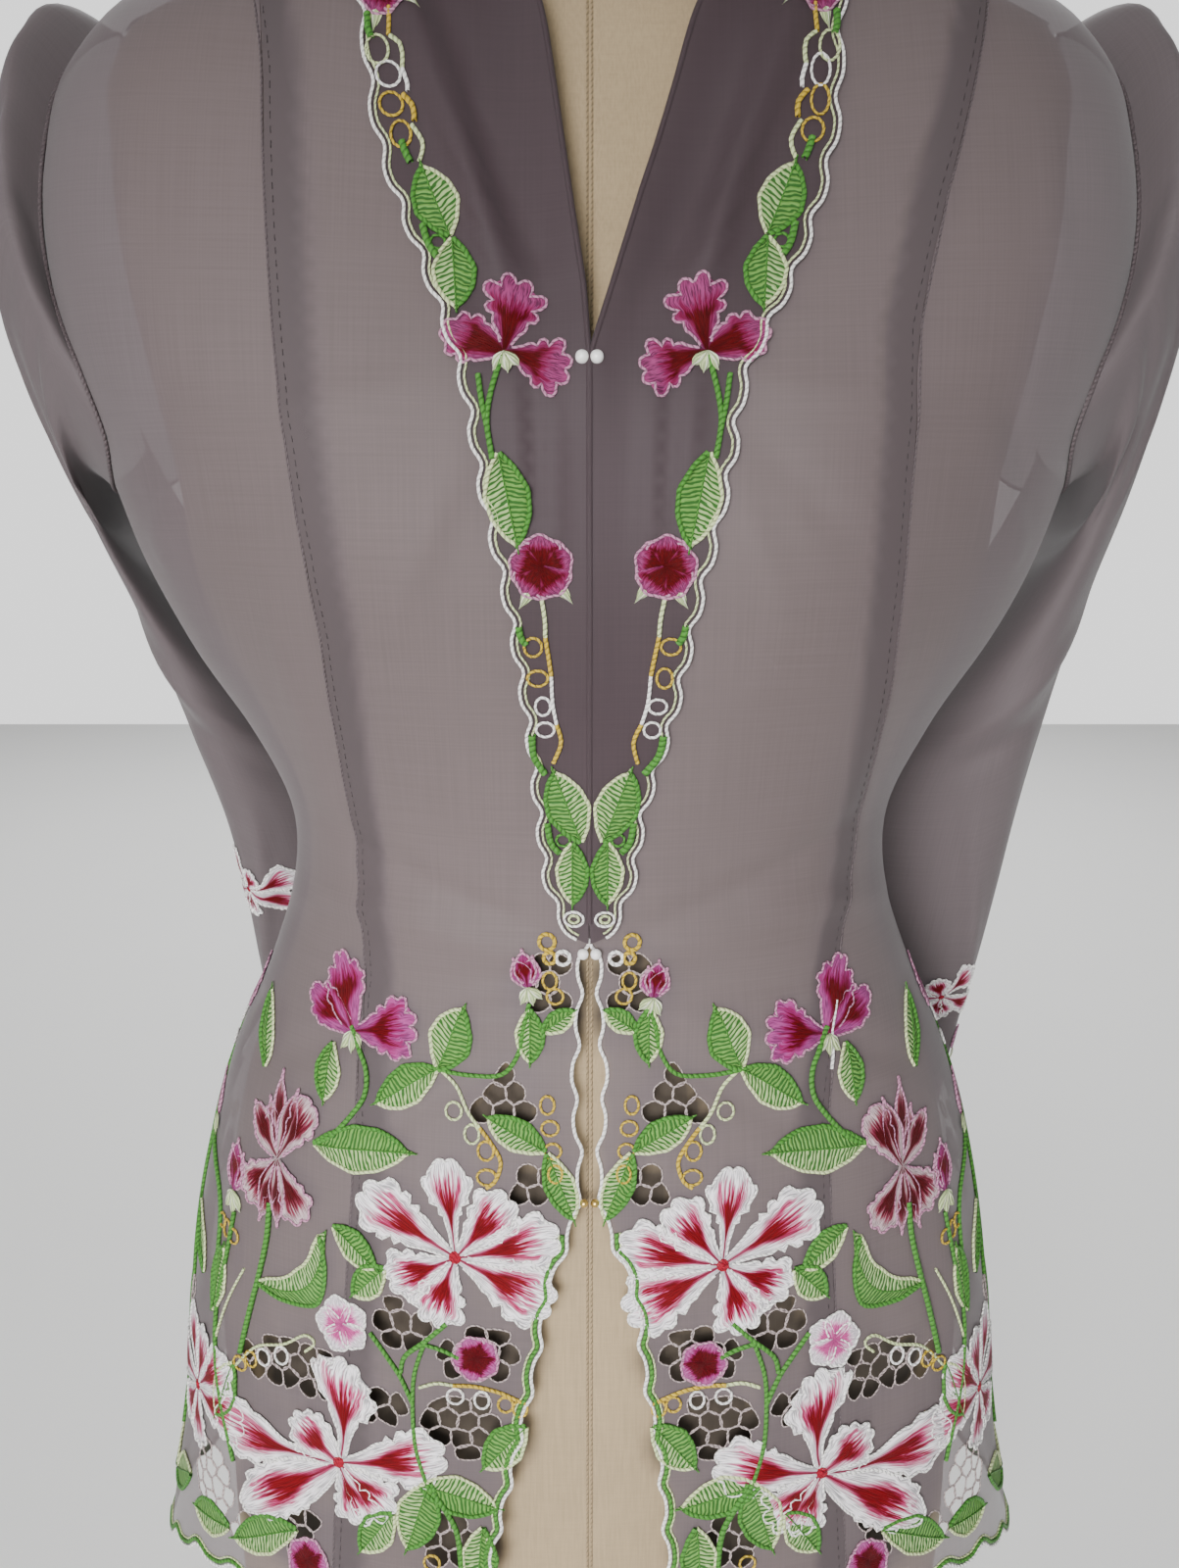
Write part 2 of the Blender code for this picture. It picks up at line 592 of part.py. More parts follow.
class Blouse:
    """The flat outlines of the panels on one side, and their nets."""

    def __init__(self, body, side):
        self.body = body
        self.side = side
        self.column = side_column(side)

    def seam_line(self, heights, shift):
        """The line at the side of the body, shifted forward or back by half a gap."""
        return np.stack((self.body.side_s(heights) + shift, heights), 1)

    def princess_heights(self):
        low = float(read_line(HEM, PRINCESS[0, self.column]))
        return seam_heights(low, PRINCESS_SHOULDER_T[self.side], GRID_FRONT)

    def princess_line(self, hand):
        """The princess seam's edge on the front (hand -1) or on the side front (1)."""
        t = self.princess_heights()
        gap = GAP * np.interp(t, PRINCESS_GAP[:, 0], PRINCESS_GAP[:, 1])
        return np.stack((self.princess_s(t) + hand * gap / 2, t), 1)

    def princess_s(self, t):
        top = PRINCESS_SHOULDER_T[self.side]
        rows = np.concatenate((PRINCESS, ((top,) + (self.body.side_s(top),) * 2,)))
        return read_rows(rows[:, (0, self.column)], np.asarray(t, float))[:, 0]

    def shoulder_heights(self):
        """Heights of the shoulder seam's points, with the lapel's edge and the princess seam."""
        top = OPENING[0, 0]
        outer = seam_heights(ARMHOLE[-1, 0], PRINCESS_SHOULDER_T[self.side], SHOULDER_STEP)
        middle = seam_heights(PRINCESS_SHOULDER_T[self.side], LAPEL_SHOULDER_T, SHOULDER_STEP)
        inner = seam_heights(LAPEL_SHOULDER_T, top, NECK_STEP)
        return outer, np.concatenate((middle, inner[1:]))

    def opening_line(self):
        """The opening's edge from the neck side down to the waist, then scalloped to the hem."""
        rows = OPENING[:, (0, self.column)]
        upper = seam_heights(OPENING[0, 0], FASTENED_T, SHOULDER_STEP)
        lower = seam_heights(FASTENED_T, LAPEL_END_T, SHOULDER_STEP)
        heights = np.concatenate((upper, lower[1:]))
        order = rows[np.argsort(rows[:, 0])]
        straight = np.stack((read_line(order, heights), heights), 1)
        straight[0, 0] = self.body.side_s(heights[0]) - GAP / 2
        heights = np.linspace(LAPEL_END_T, OPENING[-1, 0], FINE_STEPS)
        edge = np.stack((read_rows(order, heights)[:, 0], heights), 1)
        edge = scalloped(edge, EDGE_SCALLOP, 1)
        edge[:, 0] += EDGE_SCALLOP[1]
        edge[:, 0] = np.maximum(edge[:, 0], GAP / 2)
        return straight, edge

    def hem_line(self, first, last):
        """The scalloped hem from one corner point of a panel to the other."""
        s = np.linspace(first[0], last[0], FINE_STEPS)
        line = np.stack((s, read_line(HEM, s)), 1)
        points = scalloped(line, HEM_SCALLOP, -1)
        points[0] = first
        points[-1] = last
        return points

    def lapel_line(self):
        """The scalloped edge of the lapel, on the front and on the back."""
        body = self.body
        rows = LAPEL_EDGE[:, (0, self.column)]
        cross_s = float(body.side_s(LAPEL_SHOULDER_T))
        heights = np.linspace(rows[0, 0], LAPEL_SHOULDER_T, FINE_STEPS)
        ends = np.concatenate((rows, ((LAPEL_SHOULDER_T, cross_s),)))
        front = np.stack((read_rows(ends, heights)[:, 0], heights), 1)
        front = scalloped(front, LAPEL_SCALLOP, -1)
        front[-1] = (cross_s - GAP / 2, LAPEL_SHOULDER_T)
        front[0] = (GAP / 2, rows[0, 0])
        share = np.linspace(0.0, 1.0, FINE_STEPS)
        t = np.interp(share, (0.0, 0.35, 1.0), (LAPEL_SHOULDER_T, LAPEL_NECK_T, LAPEL_BACK_T))
        start = cross_s / body.half_girth(LAPEL_SHOULDER_T)
        s = (start + (1 - start) * share) * body.half_girth(t)
        back = scalloped(np.stack((s, t), 1), LAPEL_SCALLOP, -1)
        back[0] = (cross_s + GAP / 2, LAPEL_SHOULDER_T)
        back[-1] = (float(body.half_girth(LAPEL_BACK_T)), LAPEL_BACK_T)
        return front, back

    def front_outline(self):
        straight, edge = self.opening_line()
        princess = self.princess_line(-1)
        top = princess[-1, 1] + GAP
        princess[-1] = (float(self.body.side_s(top)) - GAP / 2, top)
        hem = self.hem_line(edge[-1], princess[0])
        _, shoulder = self.shoulder_heights()
        seam = self.seam_line(shoulder, -GAP / 2)
        return np.concatenate((hem, princess[1:], seam[1:], straight[1:], edge[1:-1]))

    def side_front_outline(self):
        princess = self.princess_line(1)
        side_line = self.seam_line(self.side_heights(), -GAP / 2)
        hem = self.hem_line(princess[0], side_line[0])
        arm = self.armhole_line(1)
        shoulder, _ = self.shoulder_heights()
        shoulder[-1] -= GAP
        seam = self.seam_line(shoulder, -GAP / 2)
        return np.concatenate((hem, side_line[1:], arm[1:], seam[1:], princess[::-1][1:-1]))

    def side_heights(self):
        side_s = float(self.body.side_s(-0.29))
        return seam_heights(float(read_line(HEM, side_s)), ARMHOLE[0, 0], GRID_FRONT)

    def armhole_line(self, column):
        """The armhole's edge from the underarm to the shoulder, in front (1) or behind (2)."""
        share = np.linspace(0, 1, SLEEVE_SIDES // 2 + 1)
        dense = np.linspace(ARMHOLE[0, 0], ARMHOLE[-1, 0], 200)
        reach = np.interp(dense, ARMHOLE[:, 0], ARMHOLE[:, column])
        line = resample(np.stack((reach, dense), 1), len(share) - 1)
        toward = -1 if column == 1 else 1
        shift = np.maximum(line[:, 0], GAP / 2) * toward
        return np.stack((self.body.side_s(line[:, 1]) + shift, line[:, 1]), 1)

    def back_outline(self):
        side_line = self.seam_line(self.side_heights(), GAP / 2)
        arm = self.armhole_line(2)
        outer, inner = self.shoulder_heights()
        seam = self.seam_line(np.concatenate((outer, inner[1:])), GAP / 2)
        top = OPENING[0, 0]
        start = seam[-1, 0] / self.body.half_girth(top)
        share = np.linspace(start, 1.0, 8)
        neck = np.stack((share * self.body.half_girth(top), np.full(8, top)), 1)
        middle_t = np.concatenate((
            np.linspace(top, LAPEL_BACK_T, 5),
            np.linspace(LAPEL_BACK_T, HEM[-1, 1], 25)[1:],
        ))
        middle = np.stack((self.body.half_girth(middle_t), middle_t), 1)
        hem = self.hem_line(side_line[0], middle[-1])
        return np.concatenate((
            side_line, arm[1:], seam[1:], neck[1:], middle[1:], hem[::-1][1:-1],
        ))

    def net(self, outline, windows, first_seed, lines, spacing):
        """A panel's points (s, t) and triangles."""
        body = self.body
        holes = [body.to_net(h) for h in holes_inside(outline, windows, first_seed)]
        flat = body.to_net(outline)
        lines = [body.to_net(line) for line in lines]
        net, faces = triangulate(flat, holes, lines, spacing)
        return body.from_net(net), faces


def side_name(base, side):
    return base + ("_left" if side < 0 else "_right")


def panel(body, side, name, points, faces, finish="cloth"):
    outer = body.point(side, points[:, 0], points[:, 1])
    inner = body.point(side, points[:, 0], points[:, 1], -WALL)
    return wall(name, outer, inner, faces, finish)


def weld(faces, keys):
    """The faces with the points that share a key joined."""
    first = {}
    place = np.arange(len(keys))
    for i, key in enumerate(keys):
        if key is not None:
            place[i] = first.setdefault(key, i)
    return place[faces]


def make_side(body, side):
    """Front, side front and lapel of one side. Returns the half back's net."""
    blouse = Blouse(body, side)
    front_edge, back_edge = blouse.lapel_line()
    front, front_faces = blouse.net(
        blouse.front_outline(), WINDOWS, FRONT_SEED, [front_edge], GRID_FRONT)
    panel(body, side, side_name("front", side), front, front_faces)
    points, faces = blouse.net(
        blouse.side_front_outline(), WINDOWS, FRONT_SEED, [], GRID_FRONT)
    panel(body, side, side_name("side_front", side), points, faces)
    back, back_faces = blouse.net(
        blouse.back_outline(), BACK_WINDOWS, BACK_SEED, [back_edge], GRID_BACK)
    make_lapel(body, side, (front, front_faces, front_edge), (back, back_faces, back_edge))
    return back, back_faces


def make_lapel(body, side, front, back):
    """The lapel: the panels' own points inside its edge, moved out, in one piece."""
    above = OPENING[0, 0] + SHOULDER_STEP
    beyond = HALF_GIRTH + SHOULDER_STEP
    zones = []
    for (net, faces, edge), behind in ((front, False), (back, True)):
        line = body.to_net(edge)
        corners = ((line[-1, 0] + GAP, above), (-GAP, above), (-GAP, line[0, 1]))
        if behind:
            corners = ((beyond, line[-1, 1]), (beyond, above), (line[0, 0] - GAP, above))
        middle = body.to_net(net)[faces].mean(axis=1)
        zones.append(faces[inside(middle, [np.concatenate((line, corners))])])
    net = np.concatenate((front[0], back[0]))
    faces = np.concatenate((zones[0], zones[1] + len(front[0])))
    keys = []
    for s, t in net:
        on_seam = abs(s - body.side_s(t)) < GAP and t > ARMHOLE[-1, 0]
        keys.append(round(t, 5) if on_seam else None)
    faces = weld(faces, keys)
    s = np.clip(net[:, 0], GAP, body.half_girth(net[:, 1]) - GAP / 2)
    outer = body.point(side, s, net[:, 1], LAPEL_LIFT + LAPEL_WALL)
    inner = body.point(side, s, net[:, 1], LAPEL_LIFT)
    wall(side_name("lapel", side), outer, inner, faces, "lapel")


def make_back(body, halves):
    """The back: both halves' nets joined down the centre."""
    outer = []
    inner = []
    triangles = []
    keys = []
    for side in (-1, 1):
        net, faces = halves[side]
        start = sum(len(o) for o in outer)
        outer.append(body.point(side, net[:, 0], net[:, 1]))
        inner.append(body.point(side, net[:, 0], net[:, 1], -WALL))
        triangles.append((faces if side < 0 else faces[:, ::-1]) + start)
        middle = np.abs(net[:, 0] - body.half_girth(net[:, 1])) < 1e-5
        keys += [round(t, 5) if m else None for t, m in zip(net[:, 1], middle)]
    faces = weld(np.concatenate(triangles), keys)
    wall("back", np.concatenate(outer), np.concatenate(inner), faces, "cloth")


def ring_faces(rings, sides):
    """Quads between rings of points that follow each other."""
    faces = []
    for k in range(rings - 1):
        for i in range(sides):
            j = (i + 1) % sides
            faces.append((k * sides + i, k * sides + j, (k + 1) * sides + j, (k + 1) * sides + i))
    return faces


def sleeve_rings(body, side):
    """Rings of the sleeve's middle surface, from the armhole to the scalloped wrist."""
    blouse = Blouse(body, side)
    fore = blouse.armhole_line(1)[::-1]
    aft = blouse.armhole_line(2)
    loop = np.concatenate((fore[:-1], aft[:-1]))
    start = body.point(side, loop[:, 0], loop[:, 1], -WALL / 2)
    start[:, 0] += side * SLEEVE_START
    turn = 2 * math.pi * np.arange(SLEEVE_SIDES) / SLEEVE_SIDES
    rings = [start]
    rows = SLEEVES[side]
    for k, (outer_x, outer_z, inner_x, inner_z, mid_y, half_depth, swing) in enumerate(rows):
        middle = np.array(((outer_x + inner_x) / 2, mid_y, (outer_z + inner_z) / 2 + WAIST_Z))
        toward_outer = np.array(((outer_x - inner_x) / 2, 0.0, (outer_z - inner_z) / 2))
        toward_front = np.array((swing, -half_depth, 0.0))
        share = (k + 1) / len(rows)
        fold = 1 + SLEEVE_FOLD / half_depth * np.sin(3 * turn + 4 * share) * math.sin(math.pi * share)
        ring = middle + (np.cos(turn) * fold)[:, None] * toward_outer
        ring = ring + (np.sin(turn) * fold)[:, None] * toward_front
        ring[:, 0] *= side
        blend = SLEEVE_BLEND[k] if k < len(SLEEVE_BLEND) else 0.0
        rings.append(ring * (1 - blend) + (start + (ring.mean(axis=0) - start.mean(axis=0))) * blend)
    lobes, depth = WRIST_SCALLOP
    rings[-1][:, 2] -= depth * np.abs(np.sin(turn * lobes / 2))
    return rings


def make_sleeve(body, side):
    """A sleeve in two solids, its upper and its lower half."""
    rings = np.array(sleeve_rings(body, side))
    along = np.gradient(rings, axis=0)
    around = np.roll(rings, -1, axis=1) - np.roll(rings, 1, axis=1)
    normal = np.cross(around, along)
    normal /= np.linalg.norm(normal, axis=2, keepdims=True)
    away = rings - rings.mean(axis=1, keepdims=True)
    normal *= np.sign(np.sum(normal * away, axis=2, keepdims=True).mean())
    away_from_cut = along[SLEEVE_PARTING] / np.linalg.norm(along[SLEEVE_PARTING], axis=1, keepdims=True)
    halves = (("sleeve_upper", slice(0, SLEEVE_PARTING + 1), -1), ("sleeve_lower", slice(SLEEVE_PARTING, None), 1))
    for name, rows, toward in halves:
        middle = rings[rows].copy()
        middle[-1 if toward < 0 else 0] += away_from_cut * SLEEVE_GAP / 2 * toward
        outer = (middle + normal[rows] * WALL / 2).reshape(-1, 3)
        inner = (middle - normal[rows] * WALL / 2).reshape(-1, 3)
        faces = []
        for a, b, c, d in ring_faces(len(middle), SLEEVE_SIDES):
            faces += [(a, b, c), (a, c, d)]
        wall(side_name(name, side), outer, inner, np.array(faces), "sleeve")


def make_ball(name, centre, radius, finish):
    mesh = bpy.data.meshes.new(name)
    shape = bmesh.new()
    bmesh.ops.create_icosphere(shape, subdivisions=2, radius=radius)
    shape.to_mesh(mesh)
    shape.free()
    mesh.shade_smooth()
    mesh.materials.append(bpy.data.materials.get(finish) or new_material(finish))
    item = bpy.data.objects.new(name, mesh)
    item.location = centre
    bpy.context.scene.collection.objects.link(item)
    return item


def make_fastenings(body):
    """A pair of beads at each fastening, seated on the lapels or on the fronts' edges."""
    for name, t, apart, radius, finish, under in BEADS:
        for side in (-1, 1):
            lift = under + GAP + radius
            centre = body.point(side, np.array((apart,)), np.array((t,)), lift)[0]
            make_ball(side_name(name, side), centre, radius, finish)


def form_rings(body):
    """Rings of the dress form, inside the cloth by the room the table gives."""
    bottom = FOOT_HEIGHT + GAP - WAIST_Z
    heights = np.concatenate((
        np.linspace(bottom, 0.30, TORSO_RINGS - 9)[:-1],
        np.linspace(0.30, NECK_TOP_T, 10),
    ))
    turn = 2 * math.pi * np.arange(TORSO_SIDES) / TORSO_SIDES
    rings = []
    for t in heights:
        fore, side, aft = read_rows(FORM_ROOM, np.array((t,)))[0]
        cosine = np.cos(turn)
        room = np.where(cosine > 0, fore, aft) * cosine ** 2 + side * np.sin(turn) ** 2
        half = np.where(turn <= math.pi, turn, 2 * math.pi - turn)
        hand = np.where(turn <= math.pi, 1.0, -1.0)
        ring = body.point_at_angle(1, half, np.full(TORSO_SIDES, t), -room)
        ring[:, 0] *= hand
        rings.append(ring)
    rings[0][:, 2] = FOOT_HEIGHT + GAP
    rings[-1][:, 2] = rings[-1][:, 2].mean()
    return np.array(rings)


def make_form(body):
    rings = form_rings(body)
    count, sides, _ = rings.shape
    faces = ring_faces(count, sides)
    faces.append(tuple(range(sides)))
    faces.append(tuple(reversed(range((count - 1) * sides, count * sides))))
    new_object("dress_form", rings.reshape(-1, 3), faces, "linen")
    return rings[-1][:, 2].mean(), rings[-1].mean(axis=0)


def rounded_plate(name, centre, half_width, half_depth, low, high, finish, edge=0.003, sides=32):
    """An oval plate with eased edges."""
    turn = 2 * math.pi * np.arange(sides) / sides
    rings = []
    for z, inset in ((low, 0.0), (high - edge, 0.0), (high, edge)):
        rings.append(np.stack((
            centre[0] + (half_width - inset) * np.sin(turn),
            centre[1] - (half_depth - inset) * np.cos(turn),
            np.full(sides, z),
        ), 1))
    faces = ring_faces(len(rings), sides)
    faces.append(tuple(range(sides)))
    faces.append(tuple(reversed(range((len(rings) - 1) * sides, len(rings) * sides))))
    return new_object(name, np.concatenate(rings), faces, finish)


def make_stand(neck_z, neck_middle):
    rounded_plate("form_base", (0.0, 0.0), FOOT_HALF_WIDTH, FOOT_HALF_DEPTH, 0.0, FOOT_HEIGHT, "wood")
    low = neck_z + GAP
    rounded_plate("neck_cap", neck_middle, CAP_RADIUS, CAP_RADIUS - 0.004, low, low + CAP_HEIGHT,
                  "wood", sides=24)


def main():
    for item in list(bpy.data.objects):
        bpy.data.objects.remove(item, do_unlink=True)
    body = Body()
    halves = {side: make_side(body, side) for side in (-1, 1)}
    make_back(body, halves)
    for side in (-1, 1):
        make_sleeve(body, side)
    make_fastenings(body)
    neck_z, neck_middle = make_form(body)
    make_stand(neck_z, neck_middle)


main()
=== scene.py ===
"""Looks of a sheer embroidered kebaya on its linen dress form.

The cloth is cut again as thin sheets on the forms of the solids, with its folds,
its cutwork windows and all of its embroidery laid on it.

Metres, +Z up; the blouse faces -Y. Places on the cloth are written as (s, t):
s goes round the body from the centre front and t is the height above the waist.
On a sleeve s goes round from its outer line and t up from the wrist.
"""
import math

import bpy
import numpy as np
from bpy.props import FloatProperty
from bpy.props import FloatVectorProperty
from bpy.props import PointerProperty
from bpy.types import Operator
from bpy.types import Panel
from bpy.types import PropertyGroup
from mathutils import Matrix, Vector
from mathutils.geometry import delaunay_2d_cdt
from mathutils.kdtree import KDTree


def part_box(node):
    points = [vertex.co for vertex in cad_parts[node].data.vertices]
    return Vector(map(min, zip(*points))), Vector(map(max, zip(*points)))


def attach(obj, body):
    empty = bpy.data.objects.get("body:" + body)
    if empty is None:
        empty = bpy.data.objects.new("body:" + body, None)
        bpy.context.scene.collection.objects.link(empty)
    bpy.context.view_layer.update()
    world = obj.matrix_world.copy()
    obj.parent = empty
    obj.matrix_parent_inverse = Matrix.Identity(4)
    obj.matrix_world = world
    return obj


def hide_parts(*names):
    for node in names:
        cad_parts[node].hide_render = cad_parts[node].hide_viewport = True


bl_info = {
    "name": "Embroidered Kebaya",
    "version": (1, 0, 0),
    "blender": (4, 5, 0),
    "location": "View3D > Sidebar > Kebaya",
    "description": "Builds a sheer embroidered kebaya blouse on a linen dress form",
    "category": "Object",
}

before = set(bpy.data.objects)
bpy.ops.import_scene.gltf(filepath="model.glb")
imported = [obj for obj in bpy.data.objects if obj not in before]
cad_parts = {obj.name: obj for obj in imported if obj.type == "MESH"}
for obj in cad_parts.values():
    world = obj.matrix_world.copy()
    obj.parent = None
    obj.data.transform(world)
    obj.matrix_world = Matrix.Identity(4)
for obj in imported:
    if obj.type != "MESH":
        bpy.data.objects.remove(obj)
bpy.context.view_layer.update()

# Heights and walls shared with the solids
WAIST_Z = 0.395
CLOTH_WALL = 0.0010
CLOTH_INNER = -CLOTH_WALL / 2
LAPEL_WALL = 0.0012
LAPEL_FACE = 0.0016
LAPEL_INNER = LAPEL_FACE - LAPEL_WALL / 2
FOOT_HEIGHT = 0.0163
NECK_TOP = 0.474

# The blouse, ring by ring: height t, half width, height at the side, depth in front,
# height in front, depth behind, height behind, shift of the middle in y, squareness
BLOUSE = np.array((
    (-0.380, 0.205, -0.380, 0.125, -0.380, 0.129, -0.380, 0.000, 2.30),
    (-0.330, 0.200, -0.330, 0.124, -0.330, 0.129, -0.330, 0.000, 2.30),
    (-0.290, 0.194, -0.290, 0.122, -0.290, 0.128, -0.290, 0.000, 2.30),
    (-0.230, 0.184, -0.230, 0.119, -0.230, 0.126, -0.230, 0.000, 2.30),
    (-0.170, 0.178, -0.170, 0.117, -0.170, 0.123, -0.170, 0.000, 2.30),
    (-0.110, 0.168, -0.110, 0.114, -0.110, 0.116, -0.110, 0.000, 2.25),
    (-0.060, 0.155, -0.060, 0.107, -0.060, 0.106, -0.060, 0.000, 2.20),
    (-0.020, 0.138, -0.020, 0.100, -0.020, 0.097, -0.020, 0.000, 2.10),
    (0.015, 0.127, 0.015, 0.098, 0.015, 0.093, 0.015, 0.000, 2.10),
    (0.045, 0.127, 0.045, 0.100, 0.045, 0.092, 0.045, 0.000, 2.10),
    (0.080, 0.142, 0.080, 0.107, 0.080, 0.094, 0.080, 0.000, 2.15),
    (0.115, 0.164, 0.115, 0.116, 0.115, 0.098, 0.115, 0.000, 2.25),
    (0.150, 0.181, 0.150, 0.123, 0.150, 0.101, 0.150, 0.000, 2.40),
    (0.180, 0.190, 0.180, 0.126, 0.180, 0.104, 0.180, 0.001, 2.60),
    (0.215, 0.201, 0.218, 0.127, 0.214, 0.104, 0.216, 0.003, 2.90),
    (0.250, 0.209, 0.258, 0.121, 0.248, 0.103, 0.253, 0.006, 3.20),
    (0.285, 0.210, 0.300, 0.113, 0.283, 0.100, 0.292, 0.009, 3.20),
    (0.310, 0.203, 0.335, 0.107, 0.311, 0.097, 0.325, 0.011, 2.90),
    (0.325, 0.189, 0.355, 0.103, 0.329, 0.094, 0.345, 0.012, 2.60),
    (0.346, 0.164, 0.368, 0.098, 0.345, 0.090, 0.362, 0.012, 2.35),
    (0.373, 0.130, 0.382, 0.090, 0.361, 0.083, 0.379, 0.012, 2.15),
    (0.396, 0.102, 0.394, 0.080, 0.377, 0.074, 0.392, 0.012, 2.05),
    (0.414, 0.083, 0.406, 0.071, 0.391, 0.066, 0.404, 0.012, 2.00),
    (0.430, 0.072, 0.420, 0.065, 0.405, 0.060, 0.417, 0.012, 2.00),
    (0.480, 0.068, 0.470, 0.062, 0.470, 0.057, 0.470, 0.012, 2.00),
))
BUST = {"x": 0.082, "z": 0.160, "rise": 0.010, "wide": 0.048, "tall": 0.055, "fade": 0.7}

# Room between the cloth's face and the form: t, in front, at the side, behind
FORM_ROOM = np.array((
    (-0.380, 0.034, 0.056, 0.034),
    (-0.290, 0.018, 0.032, 0.018),
    (-0.200, 0.010, 0.016, 0.010),
    (-0.110, 0.008, 0.010, 0.008),
    (0.000, 0.006, 0.007, 0.006),
    (0.045, 0.006, 0.006, 0.006),
    (0.115, 0.006, 0.012, 0.007),
    (0.180, 0.005, 0.026, 0.010),
    (0.250, 0.007, 0.030, 0.009),
    (0.300, 0.008, 0.022, 0.008),
    (0.325, 0.008, 0.010, 0.007),
    (0.350, 0.008, 0.0056, 0.006),
    (0.396, 0.008, 0.0050, 0.006),
    (0.430, 0.010, 0.011, 0.009),
    (0.480, 0.013, 0.017, 0.012),
))

# The princess seam and the inner edge of the lapel: t, s left, s right
PRINCESS = np.array((
    (-0.285, 0.107, 0.107),
    (-0.230, 0.104, 0.104),
    (-0.170, 0.100, 0.100),
    (-0.100, 0.095, 0.096),
    (-0.060, 0.093, 0.096),
    (0.000, 0.093, 0.108),
    (0.035, 0.097, 0.118),
    (0.066, 0.099, 0.119),
    (0.126, 0.097, 0.114),
    (0.180, 0.103, 0.113),
    (0.232, 0.108, 0.113),
    (0.272, 0.111, 0.123),
    (0.310, 0.114, 0.138),
    (0.340, 0.124, 0.152),
    (0.362, 0.140, 0.160),
))
NECKLINE = np.array((
    (0.000, 0.0002, 0.0002),
    (0.222, 0.0002, 0.0002),
    (0.246, 0.002, 0.008),
    (0.278, 0.007, 0.018),
    (0.308, 0.012, 0.029),
    (0.341, 0.018, 0.041),
    (0.378, 0.044, 0.062),
    (0.406, 0.078, 0.088),
))

# Armhole: t, reach forward of the side, reach behind it
ARMHOLE = np.array((
    (0.174, 0.000, 0.000),
    (0.177, 0.040, 0.036),
    (0.186, 0.068, 0.056),
    (0.202, 0.080, 0.066),
    (0.224, 0.074, 0.067),
    (0.250, 0.060, 0.062),
    (0.280, 0.052, 0.055),
    (0.303, 0.038, 0.042),
    (0.318, 0.020, 0.022),
    (0.3264, 0.000, 0.000),
))

# Sleeves, ring by ring: x and height of the outer point, x and height of the inner
# point, middle in y, half depth, and how far the front end swings outward
SLEEVES = {
    1: (
        (0.2240, 0.358, 0.1950, 0.1700, 0.004, 0.070, 0.000),
        (0.2390, 0.318, 0.1950, 0.1620, 0.011, 0.067, 0.000),
        (0.2430, 0.278, 0.1920, 0.1520, 0.020, 0.064, 0.000),
        (0.2390, 0.235, 0.1860, 0.1380, 0.028, 0.062, 0.002),
        (0.2300, 0.190, 0.1740, 0.1180, 0.036, 0.060, 0.005),
        (0.2200, 0.150, 0.1590, 0.0940, 0.045, 0.057, 0.008),
        (0.2110, 0.112, 0.1440, 0.0680, 0.055, 0.053, 0.012),
        (0.2030, 0.073, 0.1310, 0.0400, 0.065, 0.047, 0.018),
        (0.1940, 0.034, 0.1230, 0.0090, 0.076, 0.042, 0.024),
        (0.1860, -0.005, 0.1190, -0.0230, 0.088, 0.039, 0.028),
        (0.1790, -0.045, 0.1170, -0.0560, 0.101, 0.036, 0.030),
        (0.1720, -0.085, 0.1150, -0.0910, 0.114, 0.033, 0.031),
        (0.1610, -0.162, 0.1110, -0.1630, 0.135, 0.030, 0.032),
        (0.1590, -0.192, 0.1090, -0.1920, 0.139, 0.031, 0.032),
    ),
    -1: (
        (0.2200, 0.358, 0.1950, 0.1700, 0.004, 0.070, 0.000),
        (0.2340, 0.320, 0.1950, 0.1620, 0.011, 0.067, 0.000),
        (0.2360, 0.280, 0.1910, 0.1520, 0.020, 0.064, 0.000),
        (0.2260, 0.235, 0.1840, 0.1380, 0.028, 0.062, 0.002),
        (0.2130, 0.190, 0.1700, 0.1180, 0.036, 0.060, 0.005),
        (0.2000, 0.150, 0.1530, 0.0940, 0.045, 0.057, 0.008),
        (0.1890, 0.112, 0.1350, 0.0680, 0.056, 0.053, 0.012),
        (0.1780, 0.073, 0.1180, 0.0400, 0.067, 0.047, 0.017),
        (0.1660, 0.034, 0.1070, 0.0090, 0.079, 0.042, 0.021),
        (0.1580, -0.005, 0.1010, -0.0230, 0.091, 0.039, 0.024),
        (0.1530, -0.045, 0.0990, -0.0560, 0.104, 0.036, 0.026),
        (0.1480, -0.085, 0.0980, -0.0910, 0.117, 0.033, 0.028),
        (0.1400, -0.162, 0.0950, -0.1630, 0.136, 0.030, 0.031),
        (0.1380, -0.192, 0.0940, -0.1920, 0.140, 0.031, 0.031),
    ),
}
SLEEVE_SIDES = 24
SLEEVE_ROWS = 150
SLEEVE_COLUMNS = 144
SLEEVE_BLEND = (0.55, 0.36, 0.14)
SLEEVE_START = 0.00122
SLEEVE_FOLD = 0.0030
WRIST_SCALLOP = (6, 0.004)
WRIST_FROM = 0.94
CALM_TO = 0.06
CREASE_FADE = 0.7

